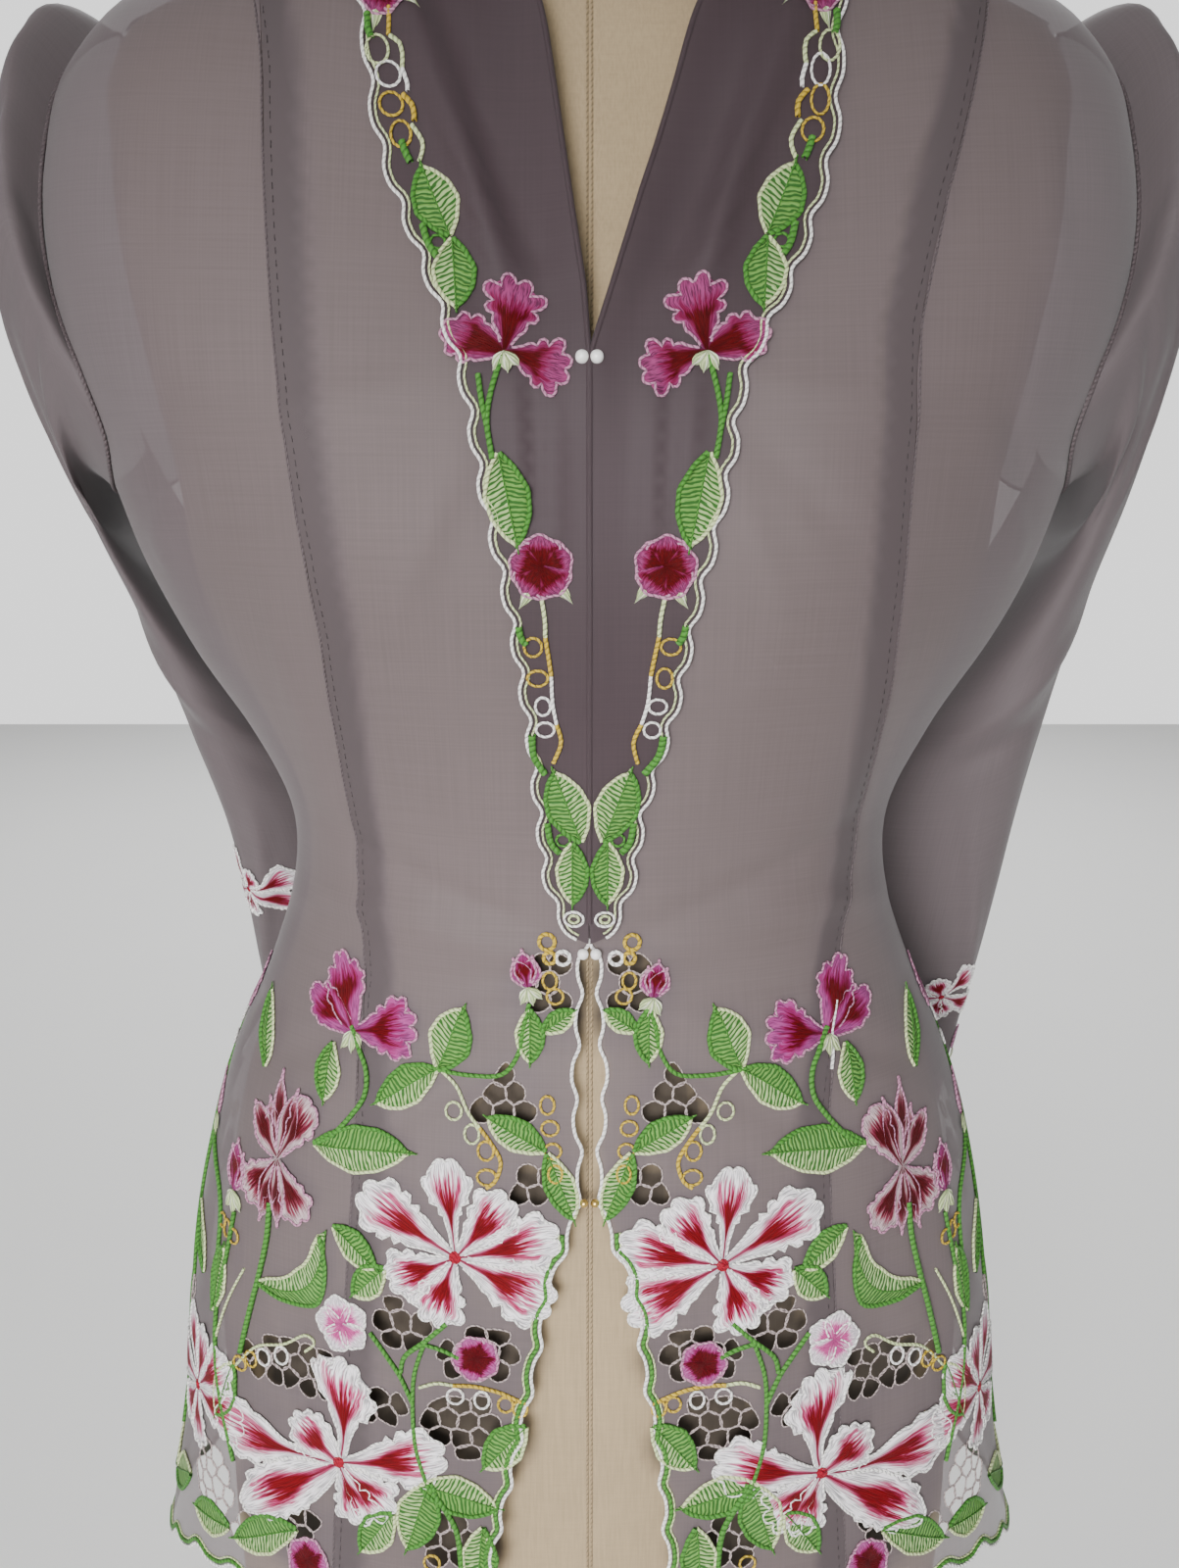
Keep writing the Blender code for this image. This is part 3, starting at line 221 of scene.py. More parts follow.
# Creases pressed or pulled into the body's cloth on each side of the front: the two
# ends (s, t), half width and height, and then those of the back
CREASES = (
    (0.012, 0.012, 0.120, 0.052, 0.0050, -0.0017),
    (0.010, 0.004, 0.125, 0.020, 0.0055, 0.0016),
    (0.010, -0.006, 0.120, -0.012, 0.0055, -0.0017),
    (0.012, -0.014, 0.115, -0.044, 0.0055, 0.0016),
    (0.014, -0.026, 0.100, -0.076, 0.0060, -0.0014),
    (0.060, 0.020, 0.165, 0.010, 0.0060, 0.0014),
    (0.070, -0.022, 0.160, -0.058, 0.0065, -0.0016),
    (0.040, 0.196, 0.075, 0.120, 0.0060, 0.0014),
    (0.052, 0.200, 0.100, 0.150, 0.0060, -0.0013),
    (0.046, 0.214, 0.120, 0.200, 0.0070, 0.0012),
    (0.112, 0.050, 0.120, 0.170, 0.0060, 0.0012),
    (0.150, 0.185, 0.185, 0.150, 0.0070, 0.0016),
    (0.145, 0.215, 0.170, 0.176, 0.0060, -0.0014),
    (0.160, 0.300, 0.168, 0.240, 0.0055, 0.0012),
    (0.150, -0.060, 0.175, -0.250, 0.0120, 0.0020),
    (0.060, -0.080, 0.075, -0.260, 0.0110, 0.0015),
    (0.120, -0.110, 0.118, -0.250, 0.0100, -0.0015),
)
BACK_CREASES = (
    (0.200, 0.004, 0.330, 0.018, 0.0060, -0.0016),
    (0.205, -0.012, 0.335, -0.006, 0.0065, 0.0016),
    (0.210, -0.034, 0.330, -0.030, 0.0065, -0.0015),
    (0.290, 0.040, 0.370, 0.034, 0.0070, 0.0013),
    (0.330, 0.160, 0.440, 0.200, 0.0120, 0.0015),
    (0.300, -0.090, 0.320, -0.270, 0.0130, 0.0026),
    (0.390, -0.080, 0.410, -0.270, 0.0140, -0.0022),
    (0.450, -0.100, 0.460, -0.270, 0.0120, 0.0022),
    (0.250, -0.090, 0.262, -0.270, 0.0110, -0.0018),
)
# Soft folds of each lapel, from the shoulder towards the upper pearls
LAPEL_CREASES = (
    (0.086, 0.380, 0.022, 0.240, 0.0050, 0.0046),
    (0.070, 0.372, 0.016, 0.250, 0.0040, -0.0030),
    (0.054, 0.340, 0.026, 0.230, 0.0040, 0.0034),
    (0.026, 0.222, 0.022, 0.165, 0.0026, 0.0024),
    (0.019, 0.222, 0.017, 0.160, 0.0024, -0.0020),
    (0.013, 0.222, 0.012, 0.150, 0.0024, 0.0022),
)
# Creases of the sleeves: share round and share down of each end, half width, height
SLEEVE_CREASES = (
    (0.20, 0.02, 0.24, 0.34, 0.016, 0.0030),
    (0.28, 0.03, 0.31, 0.30, 0.014, -0.0022),
    (0.12, 0.02, 0.16, 0.22, 0.014, -0.0018),
    (0.02, 0.02, 0.06, 0.20, 0.016, 0.0022),
    (0.90, 0.02, 0.93, 0.22, 0.016, 0.0020),
    (0.10, 0.46, 0.40, 0.52, 0.020, 0.0024),
    (0.14, 0.53, 0.42, 0.56, 0.018, -0.0022),
    (0.55, 0.44, 0.80, 0.50, 0.020, 0.0024),
    (0.30, 0.60, 0.20, 0.86, 0.018, 0.0022),
    (0.05, 0.58, 0.10, 0.88, 0.020, -0.0018),
    (0.70, 0.60, 0.74, 0.90, 0.020, 0.0020),
)


def read_rows(rows, at):
    """The columns after the first, on a smooth curve through the rows."""
    x = rows[:, 0]
    v = rows[:, 1:]
    slope = np.gradient(v, x, axis=0)
    i = np.clip(np.searchsorted(x, at, side="right") - 1, 0, len(x) - 2)
    step = (x[i + 1] - x[i])[:, None]
    w = np.clip((at[:, None] - x[i][:, None]) / step, 0.0, 1.0)
    w2 = w * w
    w3 = w2 * w
    start = (2 * w3 - 3 * w2 + 1) * v[i] + (w3 - 2 * w2 + w) * step * slope[i]
    end = (3 * w2 - 2 * w3) * v[i + 1] + (w3 - w2) * step * slope[i + 1]
    return start + end


def ring_points(u, t):
    """Points of the blouse at angle u from the centre front and height t."""
    u, t = np.broadcast_arrays(np.asarray(u, float), np.asarray(t, float))
    shape = u.shape
    u = u.ravel()
    half, side_z, fore, fore_z, aft, aft_z, mid, square = read_rows(BLOUSE, t.ravel()).T
    sine, cosine = np.abs(np.sin(u)), np.cos(u)
    depth = np.where(cosine >= 0, fore, aft)
    end_z = np.where(cosine >= 0, fore_z, aft_z)
    radius = ((sine / half) ** square + (np.abs(cosine) / depth) ** square) ** (-1.0 / square)
    z = end_z * cosine ** 2 + side_z * sine ** 2
    across = (radius * sine - BUST["x"]) / BUST["wide"]
    up = (z - BUST["z"]) / BUST["tall"]
    swell = BUST["rise"] * np.exp(-across ** 2 - up ** 2)
    radius = radius + swell * np.clip(cosine, 0, 1) ** BUST["fade"]
    points = np.stack((radius * np.sin(u), mid - radius * cosine, z + WAIST_Z), -1)
    return points.reshape(shape + (3,))


def crease(s, t, row):
    """Height of one crease: a soft ridge or trough that fades at both ends."""
    s0, t0, s1, t1, wide, height = row
    ds, dt = s1 - s0, t1 - t0
    length = math.hypot(ds, dt)
    along = ((s - s0) * ds + (t - t0) * dt) / length ** 2
    across = ((s - s0) * dt - (t - t0) * ds) / length
    fade = np.clip(1 - (2 * along - 1) ** 2, 0, 1) ** CREASE_FADE
    return height * fade * np.exp(-(across / wide) ** 2)


def unit(v):
    return v / np.maximum(np.linalg.norm(v, axis=-1, keepdims=True), 1e-12)


class Skin:
    """A cloth's face as a grid of points, its columns going round, read in between."""

    def __init__(self, points):
        self.points = points
        self.rows, self.columns = points.shape[:2]
        around = np.roll(points, -1, axis=1) - np.roll(points, 1, axis=1)
        along = np.gradient(points, axis=0)
        normal = np.cross(around, along)
        away = points - points.mean(axis=1, keepdims=True)
        normal = normal * np.sign(np.sum(normal * away))
        self.normals = unit(normal)

    def read(self, row, column, lift):
        row = np.clip(row, 0, self.rows - 1.001)
        i = row.astype(int)
        j = np.floor(column).astype(int)
        a = (row - i)[..., None]
        b = (column - j)[..., None]
        j = j % self.columns
        k = (j + 1) % self.columns
        found = []
        for grid in (self.points, self.normals):
            low = grid[i, j] * (1 - b) + grid[i, k] * b
            high = grid[i + 1, j] * (1 - b) + grid[i + 1, k] * b
            found.append(low * (1 - a) + high * a)
        lift = np.broadcast_to(np.asarray(lift, float), row.shape)[..., None]
        return found[0] + found[1] * lift

    def at(self, s, t, lift=0.0):
        """Points at distance s round (left is negative), height t, moved out by lift."""
        s, t = np.broadcast_arrays(np.asarray(s, float), np.asarray(t, float))
        row, column = self.place(s, t)
        return self.read(row, column, lift)


class BodySkin(Skin):
    """The body's cloth."""

    T_STEP = 0.002
    HALF_COLUMNS = 360
    QUARTER = 360
    T_RANGE = (-0.384, 0.4781)
    WANDER = 0.0004

    def __init__(self, folded=True):
        self.t = np.arange(*self.T_RANGE, self.T_STEP)
        u = np.linspace(0, math.pi, 2 * self.QUARTER + 1)
        fine = ring_points(u[None, :], self.t[:, None])
        lengths = np.linalg.norm(np.diff(fine, axis=1), axis=2)
        arcs = np.concatenate((np.zeros((len(self.t), 1)), np.cumsum(lengths, axis=1)), axis=1)
        self.girth = arcs[:, -1]
        self.side = arcs[:, self.QUARTER]
        share = np.linspace(0, 1, self.HALF_COLUMNS + 1)
        angle = np.array([np.interp(share * g, arc, u) for g, arc in zip(self.girth, arcs)])
        right = ring_points(angle, self.t[:, None])
        left = right[:, 1:-1][:, ::-1] * np.array((-1.0, 1.0, 1.0))
        super().__init__(np.concatenate((right, left), axis=1))
        if folded:
            raised = self.points + self.normals * self.folds()[..., None]
            super().__init__(raised)

    def signed(self):
        """The signed distance s of every grid point."""
        column = np.arange(self.columns)
        share = np.where(column <= self.HALF_COLUMNS, column, column - self.columns)
        return share[None, :] / self.HALF_COLUMNS * self.girth[:, None]

    def folds(self):
        s = self.signed()
        t = np.broadcast_to(self.t[:, None], s.shape)
        lift = np.zeros(s.shape)
        for row in CREASES + BACK_CREASES:
            lift += crease(np.abs(s), t, row)
        wander = np.sin(s * 71 + t * 23) * np.sin(t * 57 - s * 13)
        return lift + self.WANDER * wander

    def half_girth(self, t):
        return np.interp(t, self.t, self.girth)

    def side_s(self, t):
        return np.interp(t, self.t, self.side)

    def place(self, s, t):
        share = s / self.half_girth(t)
        return (t - self.t[0]) / self.T_STEP, share * self.HALF_COLUMNS


def armhole_line(body, column, steps):
    """The armhole's edge from the underarm to the shoulder, in front (1) or behind (2)."""
    dense = np.linspace(ARMHOLE[0, 0], ARMHOLE[-1, 0], 200)
    reach = np.interp(dense, ARMHOLE[:, 0], ARMHOLE[:, column])
    line = resample(np.stack((reach, dense), 1), steps)
    toward = -1 if column == 1 else 1
    return np.stack((body.side_s(line[:, 1]) + line[:, 0] * toward, line[:, 1]), 1)


def way_along(line):
    """The way from the start of a line to each of its points."""
    steps = np.linalg.norm(np.diff(line, axis=0), axis=1)
    return np.concatenate(((0.0,), np.cumsum(steps)))


def resample(line, steps):
    """Even steps along a line of points."""
    line = np.asarray(line, float)
    way = way_along(line)
    at = np.linspace(0, way[-1], steps + 1)
    return np.stack([np.interp(at, way, line[:, k]) for k in range(line.shape[1])], 1)


def resample_by(line, step, least):
    """Steps of about one length along a line of points."""
    return resample(line, max(least, round(way_along(line)[-1] / step)))


def curve_between(values, at, wrap):
    """Values along the first axis, on a smooth curve, at fractional places."""
    count = len(values)
    i = np.floor(at).astype(int)
    w = (at - i).reshape((-1,) + (1,) * (values.ndim - 1))
    rows = []
    for shift in (-1, 0, 1, 2):
        k = (i + shift) % count if wrap else np.clip(i + shift, 0, count - 1)
        rows.append(values[k])
    a, b, c, d = rows
    bend = (2 * a - 5 * b + 4 * c - d) * w * w + (3 * b - 3 * c + d - a) * w ** 3
    return b + 0.5 * ((c - a) * w + bend)


class SleeveSkin(Skin):
    """One sleeve's cloth, from the armhole (row 0) to the scalloped wrist."""

    def __init__(self, body, side):
        fore = armhole_line(body, 1, SLEEVE_SIDES // 2)[::-1]
        aft = armhole_line(body, 2, SLEEVE_SIDES // 2)
        loop = np.concatenate((fore[:-1], aft[:-1]))
        start = body.at(side * loop[:, 0], loop[:, 1], CLOTH_INNER)
        start[:, 0] += side * SLEEVE_START
        rings = self.rings(start, side)
        down = np.linspace(0, len(rings) - 1.0001, SLEEVE_ROWS)
        points = curve_between(rings, down, wrap=False).transpose(1, 0, 2)
        across = np.arange(SLEEVE_COLUMNS) * SLEEVE_SIDES / SLEEVE_COLUMNS
        points = curve_between(points, across, wrap=True).transpose(1, 0, 2)
        round_share = np.arange(SLEEVE_COLUMNS) / SLEEVE_COLUMNS
        down_share = np.linspace(0, 1, SLEEVE_ROWS)
        lobes, depth = WRIST_SCALLOP
        near_wrist = np.clip((down_share - WRIST_FROM) / (1 - WRIST_FROM), 0, 1) ** 2
        points[:, :, 2] -= depth * near_wrist[:, None] * np.abs(np.sin(math.pi * lobes * round_share))
        super().__init__(points)
        lift = np.zeros(points.shape[:2])
        for row in SLEEVE_CREASES:
            for turn in (-1, 0, 1):
                lift += crease(round_share[None, :] + turn, down_share[:, None], row)
        lift *= np.clip(down_share / CALM_TO, 0, 1)[:, None]
        super().__init__(points + self.normals * lift[..., None])
        way = way_along(self.points.mean(axis=1))
        self.height = way[-1] - way
        ends = np.roll(self.points, -1, axis=1) - self.points
        self.girth = np.linalg.norm(ends, axis=2).sum(axis=1)

    def rings(self, start, side):
        """The armhole and the table's rings, the first of them blended into the armhole."""
        turn = 2 * math.pi * np.arange(SLEEVE_SIDES) / SLEEVE_SIDES
        rings = [start]
        table = SLEEVES[side]
        for k, (outer_x, outer_z, inner_x, inner_z, mid_y, half_depth, swing) in enumerate(table):
            middle = np.array(((outer_x + inner_x) / 2, mid_y, (outer_z + inner_z) / 2 + WAIST_Z))
            toward_outer = np.array(((outer_x - inner_x) / 2, 0.0, (outer_z - inner_z) / 2))
            toward_front = np.array((swing, -half_depth, 0.0))
            share = (k + 1) / len(table)
            wave = np.sin(3 * turn + 4 * share) * math.sin(math.pi * share)
            fold = 1 + SLEEVE_FOLD / half_depth * wave
            ring = middle + (np.cos(turn) * fold)[:, None] * toward_outer
            ring = ring + (np.sin(turn) * fold)[:, None] * toward_front
            ring[:, 0] *= side
            blend = SLEEVE_BLEND[k] if k < len(SLEEVE_BLEND) else 0.0
            shifted = start + (ring.mean(axis=0) - start.mean(axis=0))
            rings.append(ring * (1 - blend) + shifted * blend)
        return np.array(rings)

    def place(self, s, t):
        row = np.interp(t, self.height[::-1], np.arange(self.rows)[::-1])
        girth = np.interp(row, np.arange(self.rows), self.girth)
        return row, s / girth * self.columns


def edge_loops(faces):
    """The closed loops of edges that only one face uses."""
    used = set()
    for a, b, c in faces:
        used.update(((a, b), (b, c), (c, a)))
    ahead = {a: b for a, b in used if (b, a) not in used}
    loops = []
    while ahead:
        start, here = ahead.popitem()
        loop = [start]
        while here != start:
            loop.append(here)
            here = ahead.pop(here)
        loops.append(loop)
    return loops


def loop_area(loop):
    ahead = np.roll(loop, -1, axis=0)
    return np.sum(loop[:, 0] * ahead[:, 1] - loop[:, 1] * ahead[:, 0]) / 2


def inside(points, loops):
    """Which points lie inside the loops taken together: a hole is a loop in a loop."""
    found = np.zeros(len(points), bool)
    for loop in loops:
        ahead = np.roll(loop, -1, axis=0)
        low, high = loop[:, 1].min(), loop[:, 1].max()
        near = np.nonzero((points[:, 1] >= low) & (points[:, 1] <= high))[0]
        if not len(near):
            continue
        x, y = points[near, 0], points[near, 1]
        flip = np.zeros(len(near), bool)
        for (x1, y1), (x2, y2) in zip(loop, ahead):
            if y1 != y2:
                crosses = (y1 > y) != (y2 > y)
                flip ^= crosses & (x < (x2 - x1) * (y - y1) / (y2 - y1) + x1)
        found[near] ^= flip
    return found


def clear_of(points, line, room):
    """Which points are further than room from a closed line."""
    keep = np.ones(len(points), bool)
    for a, b in zip(line, np.roll(line, -1, axis=0)):
        low, high = np.minimum(a, b) - room, np.maximum(a, b) + room
        near = np.nonzero(((points > low) & (points < high)).all(axis=1) & keep)[0]
        if not len(near):
            continue
        edge = b - a
        share = np.clip(((points[near] - a) @ edge) / max(edge @ edge, 1e-18), 0, 1)
        away = np.linalg.norm(points[near] - (a + share[:, None] * edge), axis=1)
        keep[near[away < room]] = False
    return keep


# A net's rows stand this share of its spacing apart, and its inner points keep this
# share of it clear of every edge
NET_ROW = 0.866
NET_CLEAR = 0.45


def triangulate(outline, holes, spacing):
    """Triangles that fill the outline and leave the holes open."""
    points = []
    edges = []
    for loop in [outline] + list(holes):
        first = len(points)
        points.extend(loop)
        count = len(loop)
        edges.extend((first + k, first + (k + 1) % count) for k in range(count))
    low, high = outline.min(axis=0), outline.max(axis=0)
    rows = np.arange(low[1], high[1], spacing * NET_ROW)
    across = np.arange(low[0], high[0], spacing)
    grid = np.concatenate([
        np.stack((across + (k % 2) * spacing / 2, np.full(len(across), y)), 1)
        for k, y in enumerate(rows)
    ])
    grid = grid[inside(grid, [outline] + list(holes))]
    for loop in [outline] + list(holes):
        grid = grid[clear_of(grid, loop, spacing * NET_CLEAR)]
    points.extend(grid)
    result = delaunay_2d_cdt([Vector(p) for p in points], edges, [], 0, 1e-7)
    net = np.array([tuple(v) for v in result[0]])
    faces = np.array([tuple(f) for f in result[2]])
    middle = net[faces].mean(axis=1)
    return net, faces[inside(middle, [outline] + list(holes))]


def rounded(loop, parts):
    """A closed loop on a smooth curve through its points."""
    at = np.arange(len(loop) * parts) / parts
    return curve_between(np.asarray(loop), at, wrap=True)


def grown(loop, room):
    """A small closed loop moved outward by room."""
    loop = np.asarray(loop, float)
    if loop_area(loop) < 0:
        loop = loop[::-1]
    edge = unit(np.roll(loop, -1, axis=0) - loop)
    out = np.stack((edge[:, 1], -edge[:, 0]), 1)
    corner = unit(out + np.roll(out, 1, axis=0))
    stretch = 1 / np.clip(np.sum(corner * out, axis=1), 0.5, 1)
    return loop + corner * (room * stretch)[:, None]


class Cutting:
    """Reads a panel's outline and windows off its solid and lays them flat."""

    ROUNDS = 5

    def __init__(self, skin):
        self.skin = skin
        self.tree = KDTree(skin.rows * skin.columns)
        for i in range(0, skin.rows, 2):
            for j in range(0, skin.columns, 2):
                self.tree.insert(skin.points[i, j], i * skin.columns + j)
        self.tree.balance()

    def flatten(self, points):
        """Each point's column, t and lift off the plain skin."""
        skin = self.skin
        spots = np.array([self.tree.find(p)[1] for p in points])
        row = (spots // skin.columns).astype(float)
        column = (spots % skin.columns).astype(float)
        for _ in range(self.ROUNDS):
            here = skin.read(row, column, 0.0)
            along = (skin.read(row + 0.5, column, 0.0) - skin.read(row - 0.5, column, 0.0))
            around = (skin.read(row, column + 0.5, 0.0) - skin.read(row, column - 0.5, 0.0))
            normal = unit(skin.read(row, column, 1.0) - here)
            rest = points - here
            lift = np.sum(rest * normal, axis=1)
            rest = rest - normal * lift[:, None]
            aa = np.sum(along * along, axis=1)
            bb = np.sum(around * around, axis=1)
            ab = np.sum(along * around, axis=1)
            ra = np.sum(rest * along, axis=1)
            rb = np.sum(rest * around, axis=1)
            det = aa * bb - ab * ab
            row = np.clip(row + (ra * bb - rb * ab) / det, 0, skin.rows - 1.001)
            column = column + (rb * aa - ra * ab) / det
        return column, skin.t[0] + row * skin.T_STEP, lift

    def panel(self, node, face_lift):
        """The outline and the windows of a node's outer face, as (s, t)."""
        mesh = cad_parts[node].data
        places = np.zeros(len(mesh.vertices) * 3)
        mesh.vertices.foreach_get("co", places)
        places = places.reshape(-1, 3)
        same, first = np.unique(np.round(places, 5), axis=0, return_inverse=True)
        first = first.ravel()
        mesh.calc_loop_triangles()
        faces = np.array([tuple(first[k] for k in t.vertices) for t in mesh.loop_triangles])
        column, t, lift = self.flatten(same)
        outer = [tuple(f) for f in faces if (lift[f] > face_lift).all() and len(set(f)) == 3]
        columns = self.skin.columns
        column = (column + columns / 2) % columns - columns / 2
        if node == "back":
            column = column % columns
        s = column / self.skin.HALF_COLUMNS * self.skin.half_girth(t)
        loops = [np.stack((s[loop], t[loop]), 1) for loop in edge_loops(outer)]
        loops = [loop for loop in loops if len(loop) > 2]
        loops.sort(key=lambda loop: -abs(loop_area(loop)))
        return loops[0], loops[1:]


# Thread work: places are (s, t) on the viewer's left, and the right side mirrors them.
# Angles are in degrees, counter-clockwise from the side that faces the opening.
# How much further from the opening the right lapel's thread work lies: t, shift
LAPEL_SHIFT = np.array((
    (0.020, 0.0000),
    (0.060, 0.0010),
    (0.100, 0.0075),
    (0.140, 0.0095),
    (0.218, 0.0100),
    (0.250, 0.0140),
    (0.290, 0.0120),
    (0.332, 0.0080),
))

# Outline of a petal or leaf: share of its length, share of its half width
PETAL_FORMS = {
    "fan": (
        (0.0, 0.10), (0.15, 0.24), (0.35, 0.50), (0.55, 0.74),
        (0.78, 1.00), (0.93, 0.90), (1.0, 0.60)),
    "stalked": (
        (0.0, 0.10), (0.25, 0.16), (0.45, 0.34), (0.65, 0.85),
        (0.82, 1.00), (0.94, 0.82), (1.0, 0.50)),
    "round": ((0.0, 0.25), (0.20, 0.62), (0.45, 0.95), (0.65, 1.00), (0.85, 0.82), (1.0, 0.40)),
    "leaf": ((0.0, 0.06), (0.15, 0.55), (0.40, 1.00), (0.65, 0.86), (0.88, 0.42), (1.0, 0.05)),
    "crescent": ((0.0, 0.04), (0.15, 0.55), (0.50, 1.00), (0.85, 0.55), (1.0, 0.03)),
    "pointed": ((0.0, 0.14), (0.20, 0.60), (0.45, 1.00), (0.70, 0.74), (0.90, 0.32), (1.0, 0.08)),
}

# Petals of each flower: angle, length, half width, form, bend, scallops, their depth
FLOWERS = {
    "garden_flower": (
        (94, 0.0375, 0.0090, "stalked", 0.04, 3, 0.26),
        (147, 0.0438, 0.0112, "fan", 0.07, 4, 0.24),
        (208, 0.0292, 0.0096, "fan", -0.06, 3, 0.26),
        (247, 0.0276, 0.0102, "fan", 0.05, 3, 0.26),
        (338, 0.0405, 0.0126, "fan", -0.06, 4, 0.22),
        (9, 0.0404, 0.0106, "fan", 0.07, 4, 0.24),
        (46, 0.0315, 0.0096, "fan", 0.05, 3, 0.26),
    ),
    "second_flower": (
        (66, 0.0400, 0.0150, "stalked", 0.32, 5, 0.18),
        (8, 0.0448, 0.0120, "fan", 0.07, 4, 0.24),
        (322, 0.0280, 0.0112, "fan", -0.04, 3, 0.26),
        (290, 0.0255, 0.0090, "fan", 0.04, 3, 0.26),
        (219, 0.0600, 0.0112, "round", -0.08, 5, 0.22),
        (192, 0.0640, 0.0132, "stalked", -0.18, 5, 0.20),
        (146, 0.0255, 0.0102, "round", 0.04, 4, 0.22),
    ),
    "side_flower": (
        (111, 0.0235, 0.0052, "pointed", -0.03, 0, 0.0),
        (93, 0.0335, 0.0046, "pointed", 0.00, 0, 0.0),
        (137, 0.0255, 0.0066, "pointed", -0.06, 3, 0.20),
        (225, 0.0262, 0.0086, "fan", 0.00, 3, 0.26),
        (249, 0.0285, 0.0056, "pointed", 0.02, 0, 0.0),
        (271, 0.0268, 0.0046, "pointed", 0.02, 0, 0.0),
        (304, 0.0255, 0.0078, "fan", 0.00, 3, 0.26),
        (69, 0.0300, 0.0056, "pointed", 0.04, 0, 0.0),
        (48, 0.0303, 0.0072, "fan", 0.10, 2, 0.26),
    ),
    "iris": (
        (150, 0.0268, 0.0074, "round", 0.04, 3, 0.22),
        (112, 0.0300, 0.0094, "round", -0.07, 4, 0.22),
        (8, 0.0290, 0.0112, "fan", 0.05, 4, 0.24),
    ),
    "lapel_flower": (
        (157, 0.0240, 0.0084, "round", 0.05, 3, 0.22),
        (76, 0.0262, 0.0106, "fan", 0.04, 3, 0.30),
        (348, 0.0246, 0.0096, "fan", -0.08, 3, 0.26),
    ),
    "lapel_bud": tuple((18 + 72 * k, 0.0128, 0.0080, "round", 0.05, 0, 0.0) for k in range(5)),
    "posy": tuple((36 + 72 * k, 0.0088, 0.0054, "round", 0.05, 0, 0.0) for k in range(5)),
    "pale_flower": tuple((30 + 72 * k, 0.0118, 0.0056, "round", 0.05, 0, 0.0) for k in range(5)),
    "pink_bud": (
        (70, 0.0150, 0.0050, "pointed", 0.05, 0, 0.0),
        (110, 0.0150, 0.0050, "pointed", -0.05, 0, 0.0),
        (90, 0.0180, 0.0050, "leaf", 0.0, 0, 0.0),
    ),
}
# Threads of each flower's petals and of their rims
FLOWER_THREADS = {
    "garden_flower": ("white petals", "white thread"),
    "second_flower": ("white petals", "white thread"),
    "side_flower": ("wine petals", "blush thread"),
    "iris": ("orchid petals", "blush thread"),
    "lapel_flower": ("dusk petals", "blush thread"),
    "lapel_bud": ("dusk petals", "blush thread"),
    "posy": ("posy petals", "blush thread"),
    "pale_flower": ("pale petals", "white thread"),
    "pink_bud": ("orchid petals", "blush thread"),
}
# Where the rim starts, as a share of the petal's length, and where it does in flowers
# with a round face
RIM_FROM = 0.12
RIM_START = {"lapel_bud": 0.55, "posy": 0.55}
# Sepals: their angles, length, half width, rows of points, lift
SHORT_SEPALS = ((235, 275, 310), 0.0085, 0.0024, 8, 0.0010)
SEPALS = {
    "iris": SHORT_SEPALS,
    "lapel_flower": SHORT_SEPALS,
    "pink_bud": SHORT_SEPALS,
    "lapel_bud": ((235, 305), 0.0190, 0.0030, 10, 0.0003),
}
# Raised middle of the large flowers: radii of its rings, their height, how it falls off
KNOTTED = ("garden_flower", "second_flower")
KNOT_RADII = (0.0005, 0.0013, 0.0021)
KNOT_HEIGHT = 0.0011
KNOT_FALL = 0.2
KNOT_SIDES = 9

# Flowers of the front: kind, s and t on the left, s and t on the right, turn, size
FLOWER_PLACES = (
    ("garden_flower", 0.0514, -0.1114, 0.0511, -0.1144, 0, 1.00),
    ("second_flower", 0.1010, -0.203, 0.0932, -0.206, 0, 1.00),
    ("side_flower", 0.1309, -0.086, 0.1312, -0.089, 0, 1.00),
    ("iris", 0.0969, -0.0317, 0.0981, -0.033, 0, 1.00),
    ("pale_flower", 0.0988, -0.145, 0.0972, -0.151, 0, 1.00),
    ("posy", 0.0439, -0.152, 0.0440, -0.154, 0, 1.05),
    ("pink_bud", 0.0234, -0.008, 0.0242, -0.012, 8, 0.85),
    ("posy", 0.1164, -0.250, 0.1150, -0.250, 30, 1.10),
    ("pink_bud", 0.1934, -0.088, 0.1934, -0.088, 20, 1.00),
    ("pink_bud", 0.1581, -0.106, 0.1581, -0.106, -4, 1.15),
    ("garden_flower", 0.1860, -0.200, 0.1840, -0.200, 24, 0.90),
)
# Flowers round the sides and the back: kind, s, t, turn, size
BACK_FLOWER_PLACES = (
    ("iris", 0.2060, -0.030, -20, 0.90),
    ("side_flower", 0.2260, -0.096, 8, 0.90),
    ("second_flower", 0.2780, -0.200, 10, 0.95),
    ("pink_bud", 0.2540, -0.130, -20, 0.90),
    ("iris", 0.3080, -0.096, 0, 1.00),
    ("garden_flower", 0.3700, -0.170, -16, 1.00),
    ("pale_flower", 0.3300, -0.240, 0, 1.00),
    ("second_flower", 0.4400, -0.196, 30, 0.90),
    ("pink_bud", 0.4180, -0.110, 0, 0.90),
)
LAPEL_FLOWER_PLACES = (
    ("lapel_flower", 0.0287, 0.2235, 0, 0.90),
    ("lapel_bud", 0.0166, 0.1518, 0, 0.86),
    ("lapel_bud", 0.0720, 0.3340, 20, 0.86),
)

